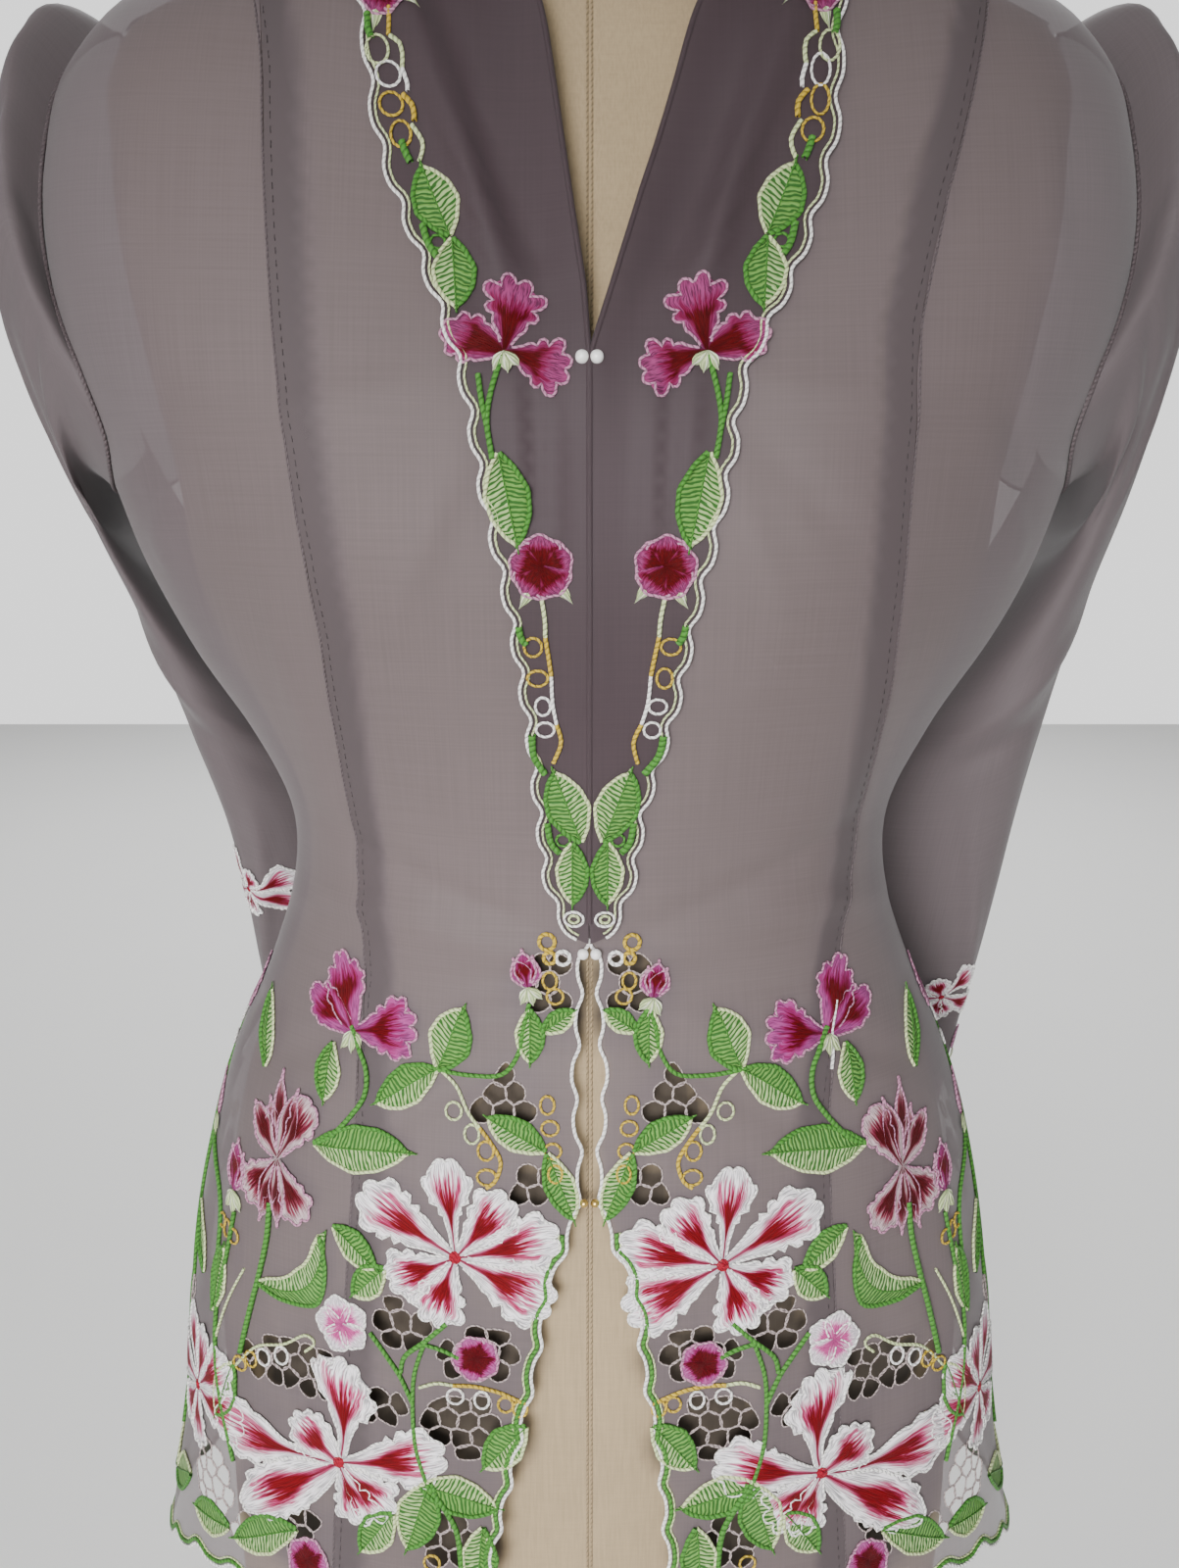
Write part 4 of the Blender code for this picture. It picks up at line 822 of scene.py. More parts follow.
# Leaves: s, t of the middle, angle of the tip, length, half width, bend
LEAVES = (
    (0.0523, -0.0286, 62, 0.0282, -0.0082, 0.06),
    (0.0730, -0.0480, 206, 0.0315, -0.0070, 0.08),
    (0.0892, -0.0760, 0, 0.0456, 0.0090, 0.06),
    (0.1070, -0.0493, 264, 0.0236, -0.0060, 0.00),
    (0.0283, -0.0623, 147, 0.0271, -0.0060, 0.06),
    (0.0111, -0.0840, 289, 0.0297, -0.0056, 0.04),
    (0.0915, -0.1123, 330, 0.0250, 0.0058, -0.10),
    (0.0878, -0.1256, 219, 0.0202, -0.0062, 0.06),
    (0.0112, -0.0201, 34, 0.0160, 0.0040, 0.00),
    (0.0225, -0.0272, 270, 0.0223, 0.0054, 0.00),
    (0.0343, -0.1884, 223, 0.0271, -0.0075, 0.08),
    (0.0497, -0.2095, 351, 0.0344, -0.0080, -0.08),
    (0.0689, -0.2208, 248, 0.0337, 0.0086, 0.06),
    (0.0859, -0.2305, 230, 0.0261, -0.0070, 0.04),
    (0.1406, -0.2449, 199, 0.0396, -0.0080, 0.08),
    (0.1733, -0.2519, 187, 0.0301, -0.0075, 0.00),
    (0.1234, -0.1230, 39.5, 0.0469, -0.0080, -0.28),
    (0.0440, -0.2380, 262, 0.0300, 0.0070, 0.05),
    (0.1480, -0.0400, 96, 0.0300, 0.0058, 0.10),
    (0.1640, -0.1440, 70, 0.0320, 0.0062, 0.10),
    (0.1620, -0.1900, 240, 0.0320, 0.0066, 0.10),
    (0.1920, -0.1360, 120, 0.0320, 0.0064, 0.10),
    (0.2100, -0.2500, 200, 0.0360, 0.0074, 0.08),
    (0.2440, -0.2560, 170, 0.0340, 0.0072, -0.08),
    (0.2360, -0.0600, 100, 0.0300, 0.0062, 0.08),
    (0.2380, -0.1600, 60, 0.0320, 0.0066, -0.10),
    (0.2860, -0.1300, 110, 0.0320, 0.0066, 0.10),
    (0.3000, -0.2600, 185, 0.0350, 0.0074, 0.08),
    (0.3300, -0.1200, 70, 0.0310, 0.0064, -0.08),
    (0.3300, -0.1840, 250, 0.0320, 0.0068, 0.10),
    (0.3640, -0.2560, 175, 0.0350, 0.0074, -0.08),
    (0.3960, -0.1160, 100, 0.0310, 0.0064, 0.10),
    (0.4040, -0.2280, 240, 0.0310, 0.0066, -0.10),
    (0.4240, -0.2560, 190, 0.0340, 0.0072, 0.08),
    (0.4480, -0.1280, 110, 0.0300, 0.0064, 0.08),
)
LAPEL_LEAVES = (
    (0.0523, 0.2732, 114, 0.0260, 0.0077, 0.00),
    (0.0453, 0.2480, 274, 0.0250, 0.0071, 0.00),
    (0.0275, 0.1732, 281, 0.0343, 0.0076, 0.00),
    (0.0084, 0.0653, 110, 0.0314, 0.0078, 0.00),
    (0.0062, 0.0370, 270, 0.0264, 0.0058, 0.00),
    (0.0820, 0.3560, 120, 0.0280, 0.0072, 0.08),
)

# Stems: thread, thickness, then the points (s, t) they pass
STEMS = (
    ("green thread", 0.0011, (
        (0.0975, -0.030), (0.0895, -0.042), (0.0886, -0.053), (0.0944, -0.062),
        (0.1043, -0.072), (0.112, -0.076))),
    ("green thread", 0.0009, (
        (0.0589, -0.041), (0.0460, -0.0423), (0.0336, -0.0414), (0.0275, -0.034),
        (0.0252, -0.024), (0.0228, -0.014))),
    ("cream thread", 0.0007, (
        (0.0577, -0.041), (0.0517, -0.0466), (0.0464, -0.0561), (0.0419, -0.0614))),
    ("gold thread", 0.0008, (
        (0.0419, -0.0614), (0.0369, -0.0678), (0.0337, -0.0740), (0.0356, -0.081),
        (0.0392, -0.084))),
    ("green thread", 0.0010, ((0.0865, -0.146), (0.0789, -0.155), (0.0735, -0.162), (0.0687, -0.172))),
    ("green thread", 0.0010, ((0.0551, -0.138), (0.0626, -0.145), (0.0715, -0.153), (0.0734, -0.160))),
    ("green thread", 0.0009, (
        (0.0634, -0.146), (0.0676, -0.159), (0.0687, -0.172), (0.0680, -0.190),
        (0.0640, -0.206))),
    ("green thread", 0.0009, ((0.0634, -0.147), (0.0567, -0.149), (0.0506, -0.152))),
    ("cream thread", 0.0007, ((0.0660, -0.165), (0.0595, -0.1628), (0.0530, -0.1635))),
    ("gold thread", 0.0008, (
        (0.0530, -0.1635), (0.0442, -0.1635), (0.0347, -0.1656), (0.0263, -0.1692))),
    ("green thread", 0.0012, (
        (0.0640, -0.206), (0.0560, -0.218), (0.0516, -0.229), (0.0505, -0.250),
        (0.0520, -0.266))),
    ("cream thread", 0.0006, (
        (0.1551, -0.179), (0.1413, -0.165), (0.1271, -0.160), (0.1170, -0.154),
        (0.1119, -0.156), (0.117, -0.161))),
    ("green thread", 0.0013, (
        (0.1344, -0.104), (0.1356, -0.118), (0.1397, -0.134), (0.1439, -0.148),
        (0.1500, -0.170))),
    ("cream thread", 0.0006, ((0.1489, -0.135), (0.1564, -0.148), (0.1628, -0.162), (0.1657, -0.169))),
    ("green thread", 0.0010, (
        (0.1960, -0.094), (0.1840, -0.102), (0.1720, -0.113), (0.1680, -0.128),
        (0.1700, -0.160))),
    ("green thread", 0.0010, (
        (0.1560, -0.114), (0.1600, -0.134), (0.1660, -0.160), (0.1640, -0.190),
        (0.1560, -0.220))),
    ("green thread", 0.0009, (
        (0.2060, -0.034), (0.2140, -0.060), (0.2060, -0.090), (0.2100, -0.130),
        (0.2040, -0.160))),
    ("green thread", 0.0009, (
        (0.2260, -0.116), (0.2320, -0.140), (0.2260, -0.170), (0.2330, -0.210),
        (0.2270, -0.240))),
    ("green thread", 0.0009, (
        (0.3080, -0.100), (0.3000, -0.130), (0.3100, -0.160), (0.3060, -0.200),
        (0.3160, -0.240))),
    ("green thread", 0.0009, (
        (0.4180, -0.120), (0.4120, -0.150), (0.4200, -0.180), (0.4140, -0.220),
        (0.4200, -0.250))),
    ("cream thread", 0.0006, ((0.2500, -0.220), (0.2620, -0.240), (0.2560, -0.258))),
    ("cream thread", 0.0006, ((0.3480, -0.220), (0.3560, -0.240), (0.3480, -0.258))),
)
LAPEL_STEMS = (
    ("green thread", 0.0010, ((0.0293, 0.222), (0.0330, 0.210), (0.0343, 0.200), (0.0326, 0.188))),
    ("green thread", 0.0010, ((0.0372, 0.216), (0.0360, 0.207), (0.0344, 0.199), (0.0328, 0.188))),
    ("cream thread", 0.0008, ((0.0165, 0.141), (0.0155, 0.134), (0.0154, 0.128))),
    ("gold thread", 0.0008, ((0.0154, 0.128), (0.0142, 0.120), (0.0134, 0.114))),
    ("white thread", 0.0007, ((0.0134, 0.114), (0.0130, 0.104), (0.0117, 0.096))),
    ("gold thread", 0.0008, ((0.0117, 0.096), (0.0101, 0.089), (0.0130, 0.081))),
    ("green thread", 0.0014, ((0.0203, 0.092), (0.0200, 0.084), (0.0160, 0.077))),
    ("green thread", 0.0013, ((0.0245, 0.132), (0.0238, 0.128), (0.0220, 0.1256))),
    ("gold thread", 0.0008, ((0.0690, 0.326), (0.0688, 0.322), (0.0689, 0.318))),
    ("cream thread", 0.0008, ((0.0685, 0.318), (0.0646, 0.316), (0.0637, 0.312), (0.0639, 0.310))),
    ("white thread", 0.0008, ((0.0639, 0.310), (0.0619, 0.306), (0.0618, 0.304))),
    ("gold thread", 0.0010, ((0.0636, 0.303), (0.0599, 0.300), (0.0594, 0.296))),
    ("cream thread", 0.0008, ((0.0604, 0.295), (0.0568, 0.291), (0.0564, 0.288), (0.0576, 0.2845))),
    ("green thread", 0.0013, ((0.0765, 0.323), (0.0760, 0.319), (0.0747, 0.3166))),
    ("green thread", 0.0013, ((0.0636, 0.290), (0.0624, 0.287), (0.0605, 0.284))),
    ("green thread", 0.0013, ((0.0561, 0.2645), (0.0540, 0.258), (0.0510, 0.254))),
    ("green thread", 0.0013, ((0.0153, 0.058), (0.0140, 0.050), (0.0108, 0.046))),
)

# Rings of cord: s, t of the first and the last, how many, radius, thread
RINGS = (
    (0.0522, -0.056, 0.0449, -0.064, 2, 0.0032, "cream thread"),
    (0.0395, -0.070, 0.0391, -0.080, 2, 0.0033, "gold thread"),
    (0.0521, -0.168, 0.0417, -0.169, 2, 0.0032, "white thread"),
    (0.0325, -0.1705, 0.0268, -0.172, 2, 0.0030, "gold thread"),
    (0.0160, -0.052, 0.0130, -0.078, 4, 0.0030, "gold thread"),
    (0.0150, -0.005, 0.0130, -0.011, 2, 0.0030, "gold thread"),
    (0.1504, -0.175, 0.1440, -0.171, 2, 0.0032, "gold thread"),
    (0.1370, -0.168, 0.1282, -0.165, 2, 0.0033, "white thread"),
    (0.0625, -0.240, 0.0600, -0.247, 2, 0.0032, "gold thread"),
    (0.1560, -0.124, 0.1660, -0.121, 3, 0.0030, "gold thread"),
    (0.2000, -0.040, 0.2020, -0.060, 3, 0.0030, "white thread"),
    (0.2420, -0.104, 0.2520, -0.108, 2, 0.0032, "gold thread"),
    (0.2600, -0.070, 0.2760, -0.080, 3, 0.0032, "white thread"),
    (0.3440, -0.116, 0.3520, -0.136, 3, 0.0032, "gold thread"),
    (0.3480, -0.070, 0.3640, -0.080, 3, 0.0032, "white thread"),
    (0.4400, -0.096, 0.4540, -0.100, 3, 0.0032, "gold thread"),
)
LAPEL_RINGS = (
    (0.0727, 0.314, 0.0727, 0.314, 1, 0.0038, "cream thread"),
    (0.0687, 0.308, 0.0687, 0.308, 1, 0.0038, "white thread"),
    (0.0675, 0.300, 0.0640, 0.292, 2, 0.0036, "gold thread"),
    (0.0510, 0.259, 0.0510, 0.259, 1, 0.0024, "green thread"),
    (0.0197, 0.1244, 0.0182, 0.1131, 2, 0.0032, "gold thread"),
    (0.0165, 0.1027, 0.0158, 0.0939, 2, 0.0030, "white thread"),
    (0.0096, 0.0510, 0.0096, 0.0510, 1, 0.0024, "green thread"),
    (0.0057, 0.0199, 0.0057, 0.0199, 1, 0.0032, "white thread"),
    (0.0057, 0.0199, 0.0057, 0.0199, 1, 0.0016, "cream thread"),
)

# Motifs round each cuff: kind, share round, t above the wrist, turn, size
CUFF_FLOWERS = (
    ("garden_flower", 0.04, 0.058, 0, 0.72),
    ("iris", 0.30, 0.060, 10, 0.95),
    ("side_flower", 0.46, 0.056, 0, 0.80),
    ("garden_flower", 0.64, 0.060, 20, 0.72),
    ("pale_flower", 0.86, 0.060, 0, 0.90),
    ("pink_bud", 0.18, 0.094, 0, 0.80),
    ("pink_bud", 0.54, 0.096, 10, 0.80),
    ("pink_bud", 0.80, 0.094, -10, 0.80),
)
SLEEVE_FLOWERS = {
    -1: (("second_flower", 0.264, 0.193, -30, 0.50), ("side_flower", 0.70, 0.170, 10, 0.70)),
    1: (("second_flower", 0.299, 0.131, -30, 0.50), ("side_flower", 0.70, 0.170, 10, 0.70)),
}
CUFF_LEAVES = tuple(
    (k / 12 + 0.03, 0.020 + 0.004 * (k % 2), 20 + 140 * (k % 2), 0.024, 0.0050, 0.10)
    for k in range(12)
)


class Stitches:
    """Thread work of one kind, gathered into one mesh."""

    def __init__(self):
        self.points = []
        self.faces = []
        self.marks = []
        self.count = 0

    def grid(self, points, marks, up):
        """A sheet of points in rows, facing the way that up points."""
        rows, columns = points.shape[:2]
        index = self.count + np.arange(rows * columns).reshape(rows, columns)
        quads = np.stack((index[:-1, :-1], index[1:, :-1], index[1:, 1:], index[:-1, 1:]), -1)
        across = points[:-1, 1:] - points[:-1, :-1]
        along = points[1:, :-1] - points[:-1, :-1]
        if np.sum(np.cross(along, across) * up) < 0:
            quads = quads[..., ::-1]
        self.points.append(points.reshape(-1, 3))
        self.marks.append(np.broadcast_to(marks, (rows, columns, 2)).reshape(-1, 2))
        self.faces.append(quads.reshape(-1, 4))
        self.count += rows * columns

    def make(self, name, finish, slot):
        faces = np.concatenate(self.faces).tolist()
        mesh = new_mesh(name, np.concatenate(self.points), faces, np.concatenate(self.marks))
        return new_piece(mesh, finish, slot)


def new_mesh(name, points, faces, marks=None, crease_angle=None):
    """A smooth mesh with its pattern coordinates, sharp where it turns by crease_angle."""
    mesh = bpy.data.meshes.new(name)
    mesh.from_pydata(points.tolist(), [], faces)
    if marks is not None:
        corners = np.zeros(len(mesh.loops), int)
        mesh.loops.foreach_get("vertex_index", corners)
        layer = mesh.uv_layers.new(name="Thread")
        layer.data.foreach_set("uv", marks[corners].ravel())
    mesh.shade_smooth()
    if crease_angle is not None:
        mesh.set_sharp_from_angle(angle=math.radians(crease_angle))
    return mesh


def add_tone(mesh, name, values):
    """A number at each point, which the piece's material reads."""
    tone = mesh.attributes.new(name, "FLOAT", "POINT")
    tone.data.foreach_set("value", values)


def new_object(name, data):
    item = bpy.data.objects.new(name, data)
    bpy.context.scene.collection.objects.link(item)
    return item


def new_piece(mesh, finish, slot):
    """One piece on the root body, with its material."""
    mesh.materials.append(finish_of(finish))
    piece = new_object(mesh.name, mesh)
    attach(piece, "root")
    return piece


def grid_quads(rows, columns, start):
    """Quads of a grid of points that are numbered from start."""
    index = start + np.arange(rows * columns).reshape(rows, columns)
    corners = (index[:-1, :-1], index[:-1, 1:], index[1:, 1:], index[1:, :-1])
    return np.stack(corners, -1).reshape(-1, 4).tolist()


def tube_quads(rows, columns):
    """Quads of a grid of points whose columns go all round."""
    index = np.arange(rows * columns).reshape(rows, columns)
    ahead = np.roll(index, -1, axis=1)
    return np.stack((index[:-1], ahead[:-1], ahead[1:], index[1:]), -1).reshape(-1, 4)


def closed_tube(rows, columns):
    """Faces of such a grid with both of its ends closed."""
    ends = np.arange(rows * columns).reshape(rows, columns)
    return tube_quads(rows, columns).tolist() + [ends[0][::-1].tolist(), ends[-1].tolist()]


class Face:
    """The face of a cloth that thread is laid on: (s, t) on one side of the body."""

    def __init__(self, skin, side, raise_by=None):
        self.skin = skin
        self.side = side
        self.raise_by = raise_by

    def at(self, s, t, lift=0.0):
        s, t = np.broadcast_arrays(np.asarray(s, float), np.asarray(t, float))
        extra = 0.0 if self.raise_by is None else self.raise_by(s, t)
        return self.skin.at(self.side * s, t, lift + extra)


class Motif:
    """Flat x and y round a place on a face: x runs towards the opening, y runs up."""

    def __init__(self, face, s, t, turn=0.0, size=1.0):
        self.face = face
        self.s = s
        self.t = t
        self.cosine = math.cos(math.radians(turn)) * size
        self.sine = math.sin(math.radians(turn)) * size

    def put(self, x, y, lift):
        across = x * self.cosine - y * self.sine
        up = x * self.sine + y * self.cosine
        return self.face.at(self.s - across, self.t + up, lift)


# Petals: how far the tip's sides fall back, where the scallops fan out from, how far
# they reach, and their level
TIP_FALL = 0.10
FAN_POINT = 0.60
SCALLOP_REACH = 1.5
SCALLOP_LEVEL = 0.55
# Share of the length where the scallops start, and over which they grow
SCALLOP_FROM = 0.25
SCALLOP_OVER = 0.3


def blade_shape(angle, length, half_width, form, bend, lobes=0, lobe_depth=0.0, rows=20, columns=11):
    """Flat points of a petal or leaf, in rows from its root to its tip."""
    columns = max(columns, 5 * lobes + 1)
    r = np.linspace(0, 1, rows)[:, None]
    v = np.linspace(-1, 1, columns)[None, :]
    table = np.array(PETAL_FORMS[form])
    width = np.interp(r, table[:, 0], table[:, 1]) * half_width
    tip = 1 - TIP_FALL * v * v
    x = length * r * (1 + (tip - 1) * r ** 3)
    y = width * v * np.ones_like(x)
    if lobes:
        x_off = x - FAN_POINT * length
        around = np.arctan2(y, x_off)
        scallop = np.abs(np.sin((lobes + 1.5) * around)) ** 0.6 - SCALLOP_LEVEL
        near_edge = np.maximum(r, np.abs(v)) ** 5 * np.clip((r - SCALLOP_FROM) / SCALLOP_OVER, 0, 1)
        away = np.hypot(x_off, y) + 1e-6
        reach = SCALLOP_REACH * lobe_depth * half_width * scallop * near_edge / away
        x = x + reach * x_off
        y = y + reach * y
    bow = np.sin(r * math.pi) if form == "crescent" else np.sin(r * math.pi * 0.5) ** 2
    y = y + bend * length * bow
    turn = math.radians(angle)
    marks = np.stack(np.broadcast_arrays(r, (v + 1) / 2), -1)
    return (
        x * math.cos(turn) - y * math.sin(turn),
        x * math.sin(turn) + y * math.cos(turn),
        marks,
    )


# How a blade rises from root to tip: share of a half wave, its start, its power
PETAL_SWELL = (0.85, 0.15, 0.5)
LEAF_SWELL = (0.8, 0.1, 1.0)
PROBE = 0.001


def lay_blade(stitches, motif, shape, lift, dome=0.0007, swell=PETAL_SWELL, stretch=1.0):
    """Fills a petal or leaf with raised stitches."""
    x, y, marks = shape
    v = marks[..., 1] * 2 - 1
    share, start, power = swell
    along = np.sin(np.clip(marks[..., 0] * share + start, 0, 1) * math.pi) ** power
    height = lift + dome * np.sqrt(np.clip(1 - v * v, 0, 1)) * along
    up = motif.put(x[0, 0], y[0, 0], lift + PROBE) - motif.put(x[0, 0], y[0, 0], lift)
    stitches.grid(motif.put(x, y, height), marks * (stretch, 1.0), up)


def rim_of(shape, start):
    """The edge of a petal or leaf, from one side of its root round the tip to the other."""
    first = int(start * len(shape[0]))
    return np.stack([
        np.concatenate((flat[first:, 0], flat[-1, 1:-1], flat[first:, -1][::-1]))
        for flat in shape[:2]
    ], 1)


def oval_loop(across, up, sides):
    """The flat points of a small oval."""
    turn = np.linspace(0, 2 * math.pi, sides + 1)[:-1]
    return np.stack((across * np.cos(turn), up * np.sin(turn)), 1)


CORD_TURN = 0.0022
CORD_RISE = 0.6


def lay_cord(stitches, put, path, radius, lift=0.0004, closed=False, sides=5):
    """A round cord along flat points."""
    path = np.asarray(path, float)
    if closed:
        path = np.concatenate((path, path[:1]))
    middle = lift + radius * CORD_RISE
    base = put(path[:, 0], path[:, 1], middle)
    up = unit(put(path[:, 0], path[:, 1], middle + PROBE) - base)
    along = np.gradient(base, axis=0)
    if closed:
        along[0] = along[-1] = base[1] - base[-2]
    across = unit(np.cross(unit(along), up))
    turn = np.linspace(0, 2 * math.pi, sides + 1)[:, None]
    ring = np.cos(turn) * across[:, None] + np.sin(turn) * up[:, None]
    turns = way_along(base)[:, None] / CORD_TURN
    marks = np.stack(np.broadcast_arrays(turns, np.linspace(0, 1, sides + 1)), -1)
    stitches.grid(base[:, None] + ring * radius, marks, ring[:-1, :-1])


STEM_STEP = 0.002
STEM_LIFT = 0.0002


def lay_stem(box, put, thread, radius, points):
    """A cord on a smooth line through a few points."""
    points = np.asarray(points, float)
    at = np.linspace(0, len(points) - 1.0001, len(points) * 8)
    line = resample_by(curve_between(points, at, wrap=False), STEM_STEP, 3)
    lay_cord(box[thread], put, line, radius, lift=STEM_LIFT)


class ThreadBox:
    """One set of stitches for each kind of thread."""

    def __init__(self):
        self.kinds = {}

    def __getitem__(self, kind):
        return self.kinds.setdefault(kind, Stitches())

    def make(self, prefix, slot):
        for kind, stitches in self.kinds.items():
            stitches.make(prefix + "_" + kind.replace(" ", "_"), kind, slot)


# Each petal lies a little higher than the one before it
PETAL_LIFT = 0.0003
PETAL_STEP = 0.00008
RIM_RADIUS = 0.0005


def lay_flower(box, face, kind, s, t, turn, size):
    motif = Motif(face, s, t, turn, size)
    petals, rim = FLOWER_THREADS[kind]
    for k, (angle, length, half_width, form, bend, lobes, depth) in enumerate(FLOWERS[kind]):
        shape = blade_shape(angle, length, half_width, form, bend, lobes, depth)
        raised = PETAL_LIFT + PETAL_STEP * k
        lay_blade(box[petals], motif, shape, raised)
        edge = rim_of(shape, RIM_START.get(kind, RIM_FROM))
        lay_cord(box[rim], motif.put, edge, RIM_RADIUS, lift=raised)
    if kind in KNOTTED:
        for radius in KNOT_RADII:
            loop = oval_loop(radius, radius, KNOT_SIDES)
            raised = KNOT_HEIGHT - radius * KNOT_FALL
            lay_cord(box["crimson thread"], motif.put, loop, RIM_RADIUS, lift=raised, closed=True)
    if kind in SEPALS:
        angles, length, half_width, rows, lift = SEPALS[kind]
        for angle in angles:
            shape = blade_shape(angle, length, half_width, "leaf", 0.1, rows=rows, columns=5)
            lay_blade(box["cream leaves"], motif, shape, lift)


LEAF_STITCH = 0.0017
LEAF_LIFT = 0.0004
LEAF_DOME = 0.0006
# Cords of a leaf: share across it, thread, radius, lift
LEAF_CORDS = (
    (0.0, "cream thread", 0.0007, LEAF_LIFT),
    (1.0, "green thread", 0.0009, LEAF_LIFT),
    (0.5, "green thread", 0.0003, 0.0011),
)
CRESCENT_BEND = 0.25


def lay_leaf(box, face, s, t, angle, length, half_width, bend):
    motif = Motif(face, s, t)
    form = "crescent" if abs(bend) > CRESCENT_BEND else "leaf"
    x, y, marks = blade_shape(angle, length, half_width, form, bend)
    turn = math.radians(angle)
    x = x - math.cos(turn) * length / 2
    y = y - math.sin(turn) * length / 2
    stitch_count = length / LEAF_STITCH
    lay_blade(box["leaves"], motif, (x, y, marks), LEAF_LIFT, LEAF_DOME, LEAF_SWELL, stitch_count)
    for share, thread, radius, lift in LEAF_CORDS:
        column = round(share * (x.shape[1] - 1))
        line = np.stack((x[:, column], y[:, column]), 1)
        lay_cord(box[thread], motif.put, line, radius, lift=lift)


# Rings: their cord, sides, and how far and by what steps they differ from round
RING_CORD = 0.00052
RING_SIDES = 14
RING_OVAL = 0.12
RING_STEP = 2.1
RING_DRIFT = 300


def lay_rings(box, face, row):
    s0, t0, s1, t1, count, radius, thread = row
    for k in range(count):
        share = k / max(count - 1, 1)
        motif = Motif(face, s0 + (s1 - s0) * share, t0 + (t1 - t0) * share)
        oval = 1.0 + RING_OVAL * math.sin(RING_STEP * k + s0 * RING_DRIFT)
        loop = oval_loop(radius * oval, radius / oval, RING_SIDES)
        lay_cord(box[thread], motif.put, loop, RING_CORD, closed=True)


class Workroom:
    """The skins that every piece lies on, made when they are first asked for."""

    def __init__(self):
        self.made = {}

    def get(self, name, maker):
        if name not in self.made:
            self.made[name] = maker()
        return self.made[name]

    @property
    def plain(self):
        return self.get("plain", lambda: BodySkin(folded=False))

    @property
    def body(self):
        return self.get("body", lambda: BodySkin(folded=True))

    @property
    def cutting(self):
        return self.get("cutting", lambda: Cutting(self.plain))

    def sleeve(self, side):
        return self.get(("sleeve", side), lambda: SleeveSkin(self.plain, side))

    def cut(self, node, lift=CLOTH_INNER):
        return self.get(("cut", node), lambda: self.cutting.panel(node, lift))


room = Workroom()
SIDES = {-1: "left", 1: "right"}
CLOTH_PANELS = ("front_left", "front_right", "side_front_left", "side_front_right", "back")


def column_of(side):
    return 1 if side < 0 else 2


def table_line(rows, t, side):
    return np.interp(t, rows[:, 0], rows[:, column_of(side)])


def eased(loop, spacing, corner=50):
    """A closed outline in short steps, smooth except at its corners."""
    count = len(loop)
    edge = np.roll(loop, -1, axis=0) - loop
    length = np.linalg.norm(edge, axis=1)
    way = edge / np.maximum(length, 1e-9)[:, None]
    before = np.roll(way, 1, axis=0)
    turning = np.degrees(np.arccos(np.clip(np.sum(way * before, axis=1), -1, 1)))
    mean = unit(way + before)
    points = []
    for i in range(count):
        j = (i + 1) % count
        parts = max(1, round(length[i] / spacing))
        start = way[i] if turning[i] > corner else mean[i]
        end = way[i] if turning[j] > corner else mean[j]
        w = (np.arange(parts) / parts)[:, None]
        w2, w3 = w * w, w * w * w
        points.append(
            (2 * w3 - 3 * w2 + 1) * loop[i] + (w3 - 2 * w2 + w) * start * length[i]
            + (3 * w2 - 2 * w3) * loop[j] + (w3 - w2) * end * length[i])
    return np.concatenate(points)


# Sheets: how much wider a window is in the sheet, parts of each of its sides, steps of
# the net and of the outline, width of the net, and share of its box that a cut fills
HOLE_GROWTH = 0.00055
WINDOW_PARTS = 3
CLOTH_STEP = 0.0042
OUTLINE_STEP = 0.0035
NET_WIDTH = 0.45
CUT_FILL = 0.82
# Proportions of each panel's cut: width, height
FRONT_CUT = (0.16, 0.74)
SIDE_CUT = (0.17, 0.70)
BACK_CUT = (0.52, 0.74)
LAPEL_CUT = (0.10, 0.62)
# Strips of allowance under the seams: lift, step, widths, and room beside the seam
STRIP_LIFT = -0.0009
STRIP_STEP = 0.006
PRINCESS_ALLOWANCE = 0.0130
SEAM_ALLOWANCE = 0.0090
SEAM_ROOM = (0.0006, 0)
SHOULDER_ROOM = (0.0008, 0)
# How the painted shade over the doubled allowance fades at its edge
DOUBLED_SHADE_FADE = 0.004
# Heights that the seams and the lapel's fold run between, and how many points they have
PRINCESS_RUN = (-0.266, 0.356, 90)
SIDE_RUN = (-0.280, 0.170, 60)
SHOULDER_RUN = (0.330, 0.418, 16)
FOLD_RUN = (0.018, 0.400, 150)


def sheet_net(node, lift):
    """A panel's net, with its cutwork windows open: s, t and triangles."""
    girth = room.plain.half_girth

    def flat(line):
        return np.stack((line[:, 0] / girth(line[:, 1]) * NET_WIDTH, line[:, 1]), 1)

    outline, windows = room.cut(node, lift)
    windows = [flat(rounded(grown(w, HOLE_GROWTH), WINDOW_PARTS)) for w in windows]
    net, faces = triangulate(flat(eased(outline, OUTLINE_STEP)), windows, CLOTH_STEP)
    return net[:, 0] / NET_WIDTH * girth(net[:, 1]), net[:, 1], faces


def net_area(points, faces):
    a, b, c = (points[faces[:, k]] for k in range(3))
    return np.linalg.norm(np.cross(b - a, c - a), axis=1).sum() / 2


def grid_area(points):
    a = points[1:, :-1] - points[:-1, :-1]
    b = points[:-1, 1:] - points[:-1, :-1]
    return np.linalg.norm(np.cross(a, b), axis=2).sum()


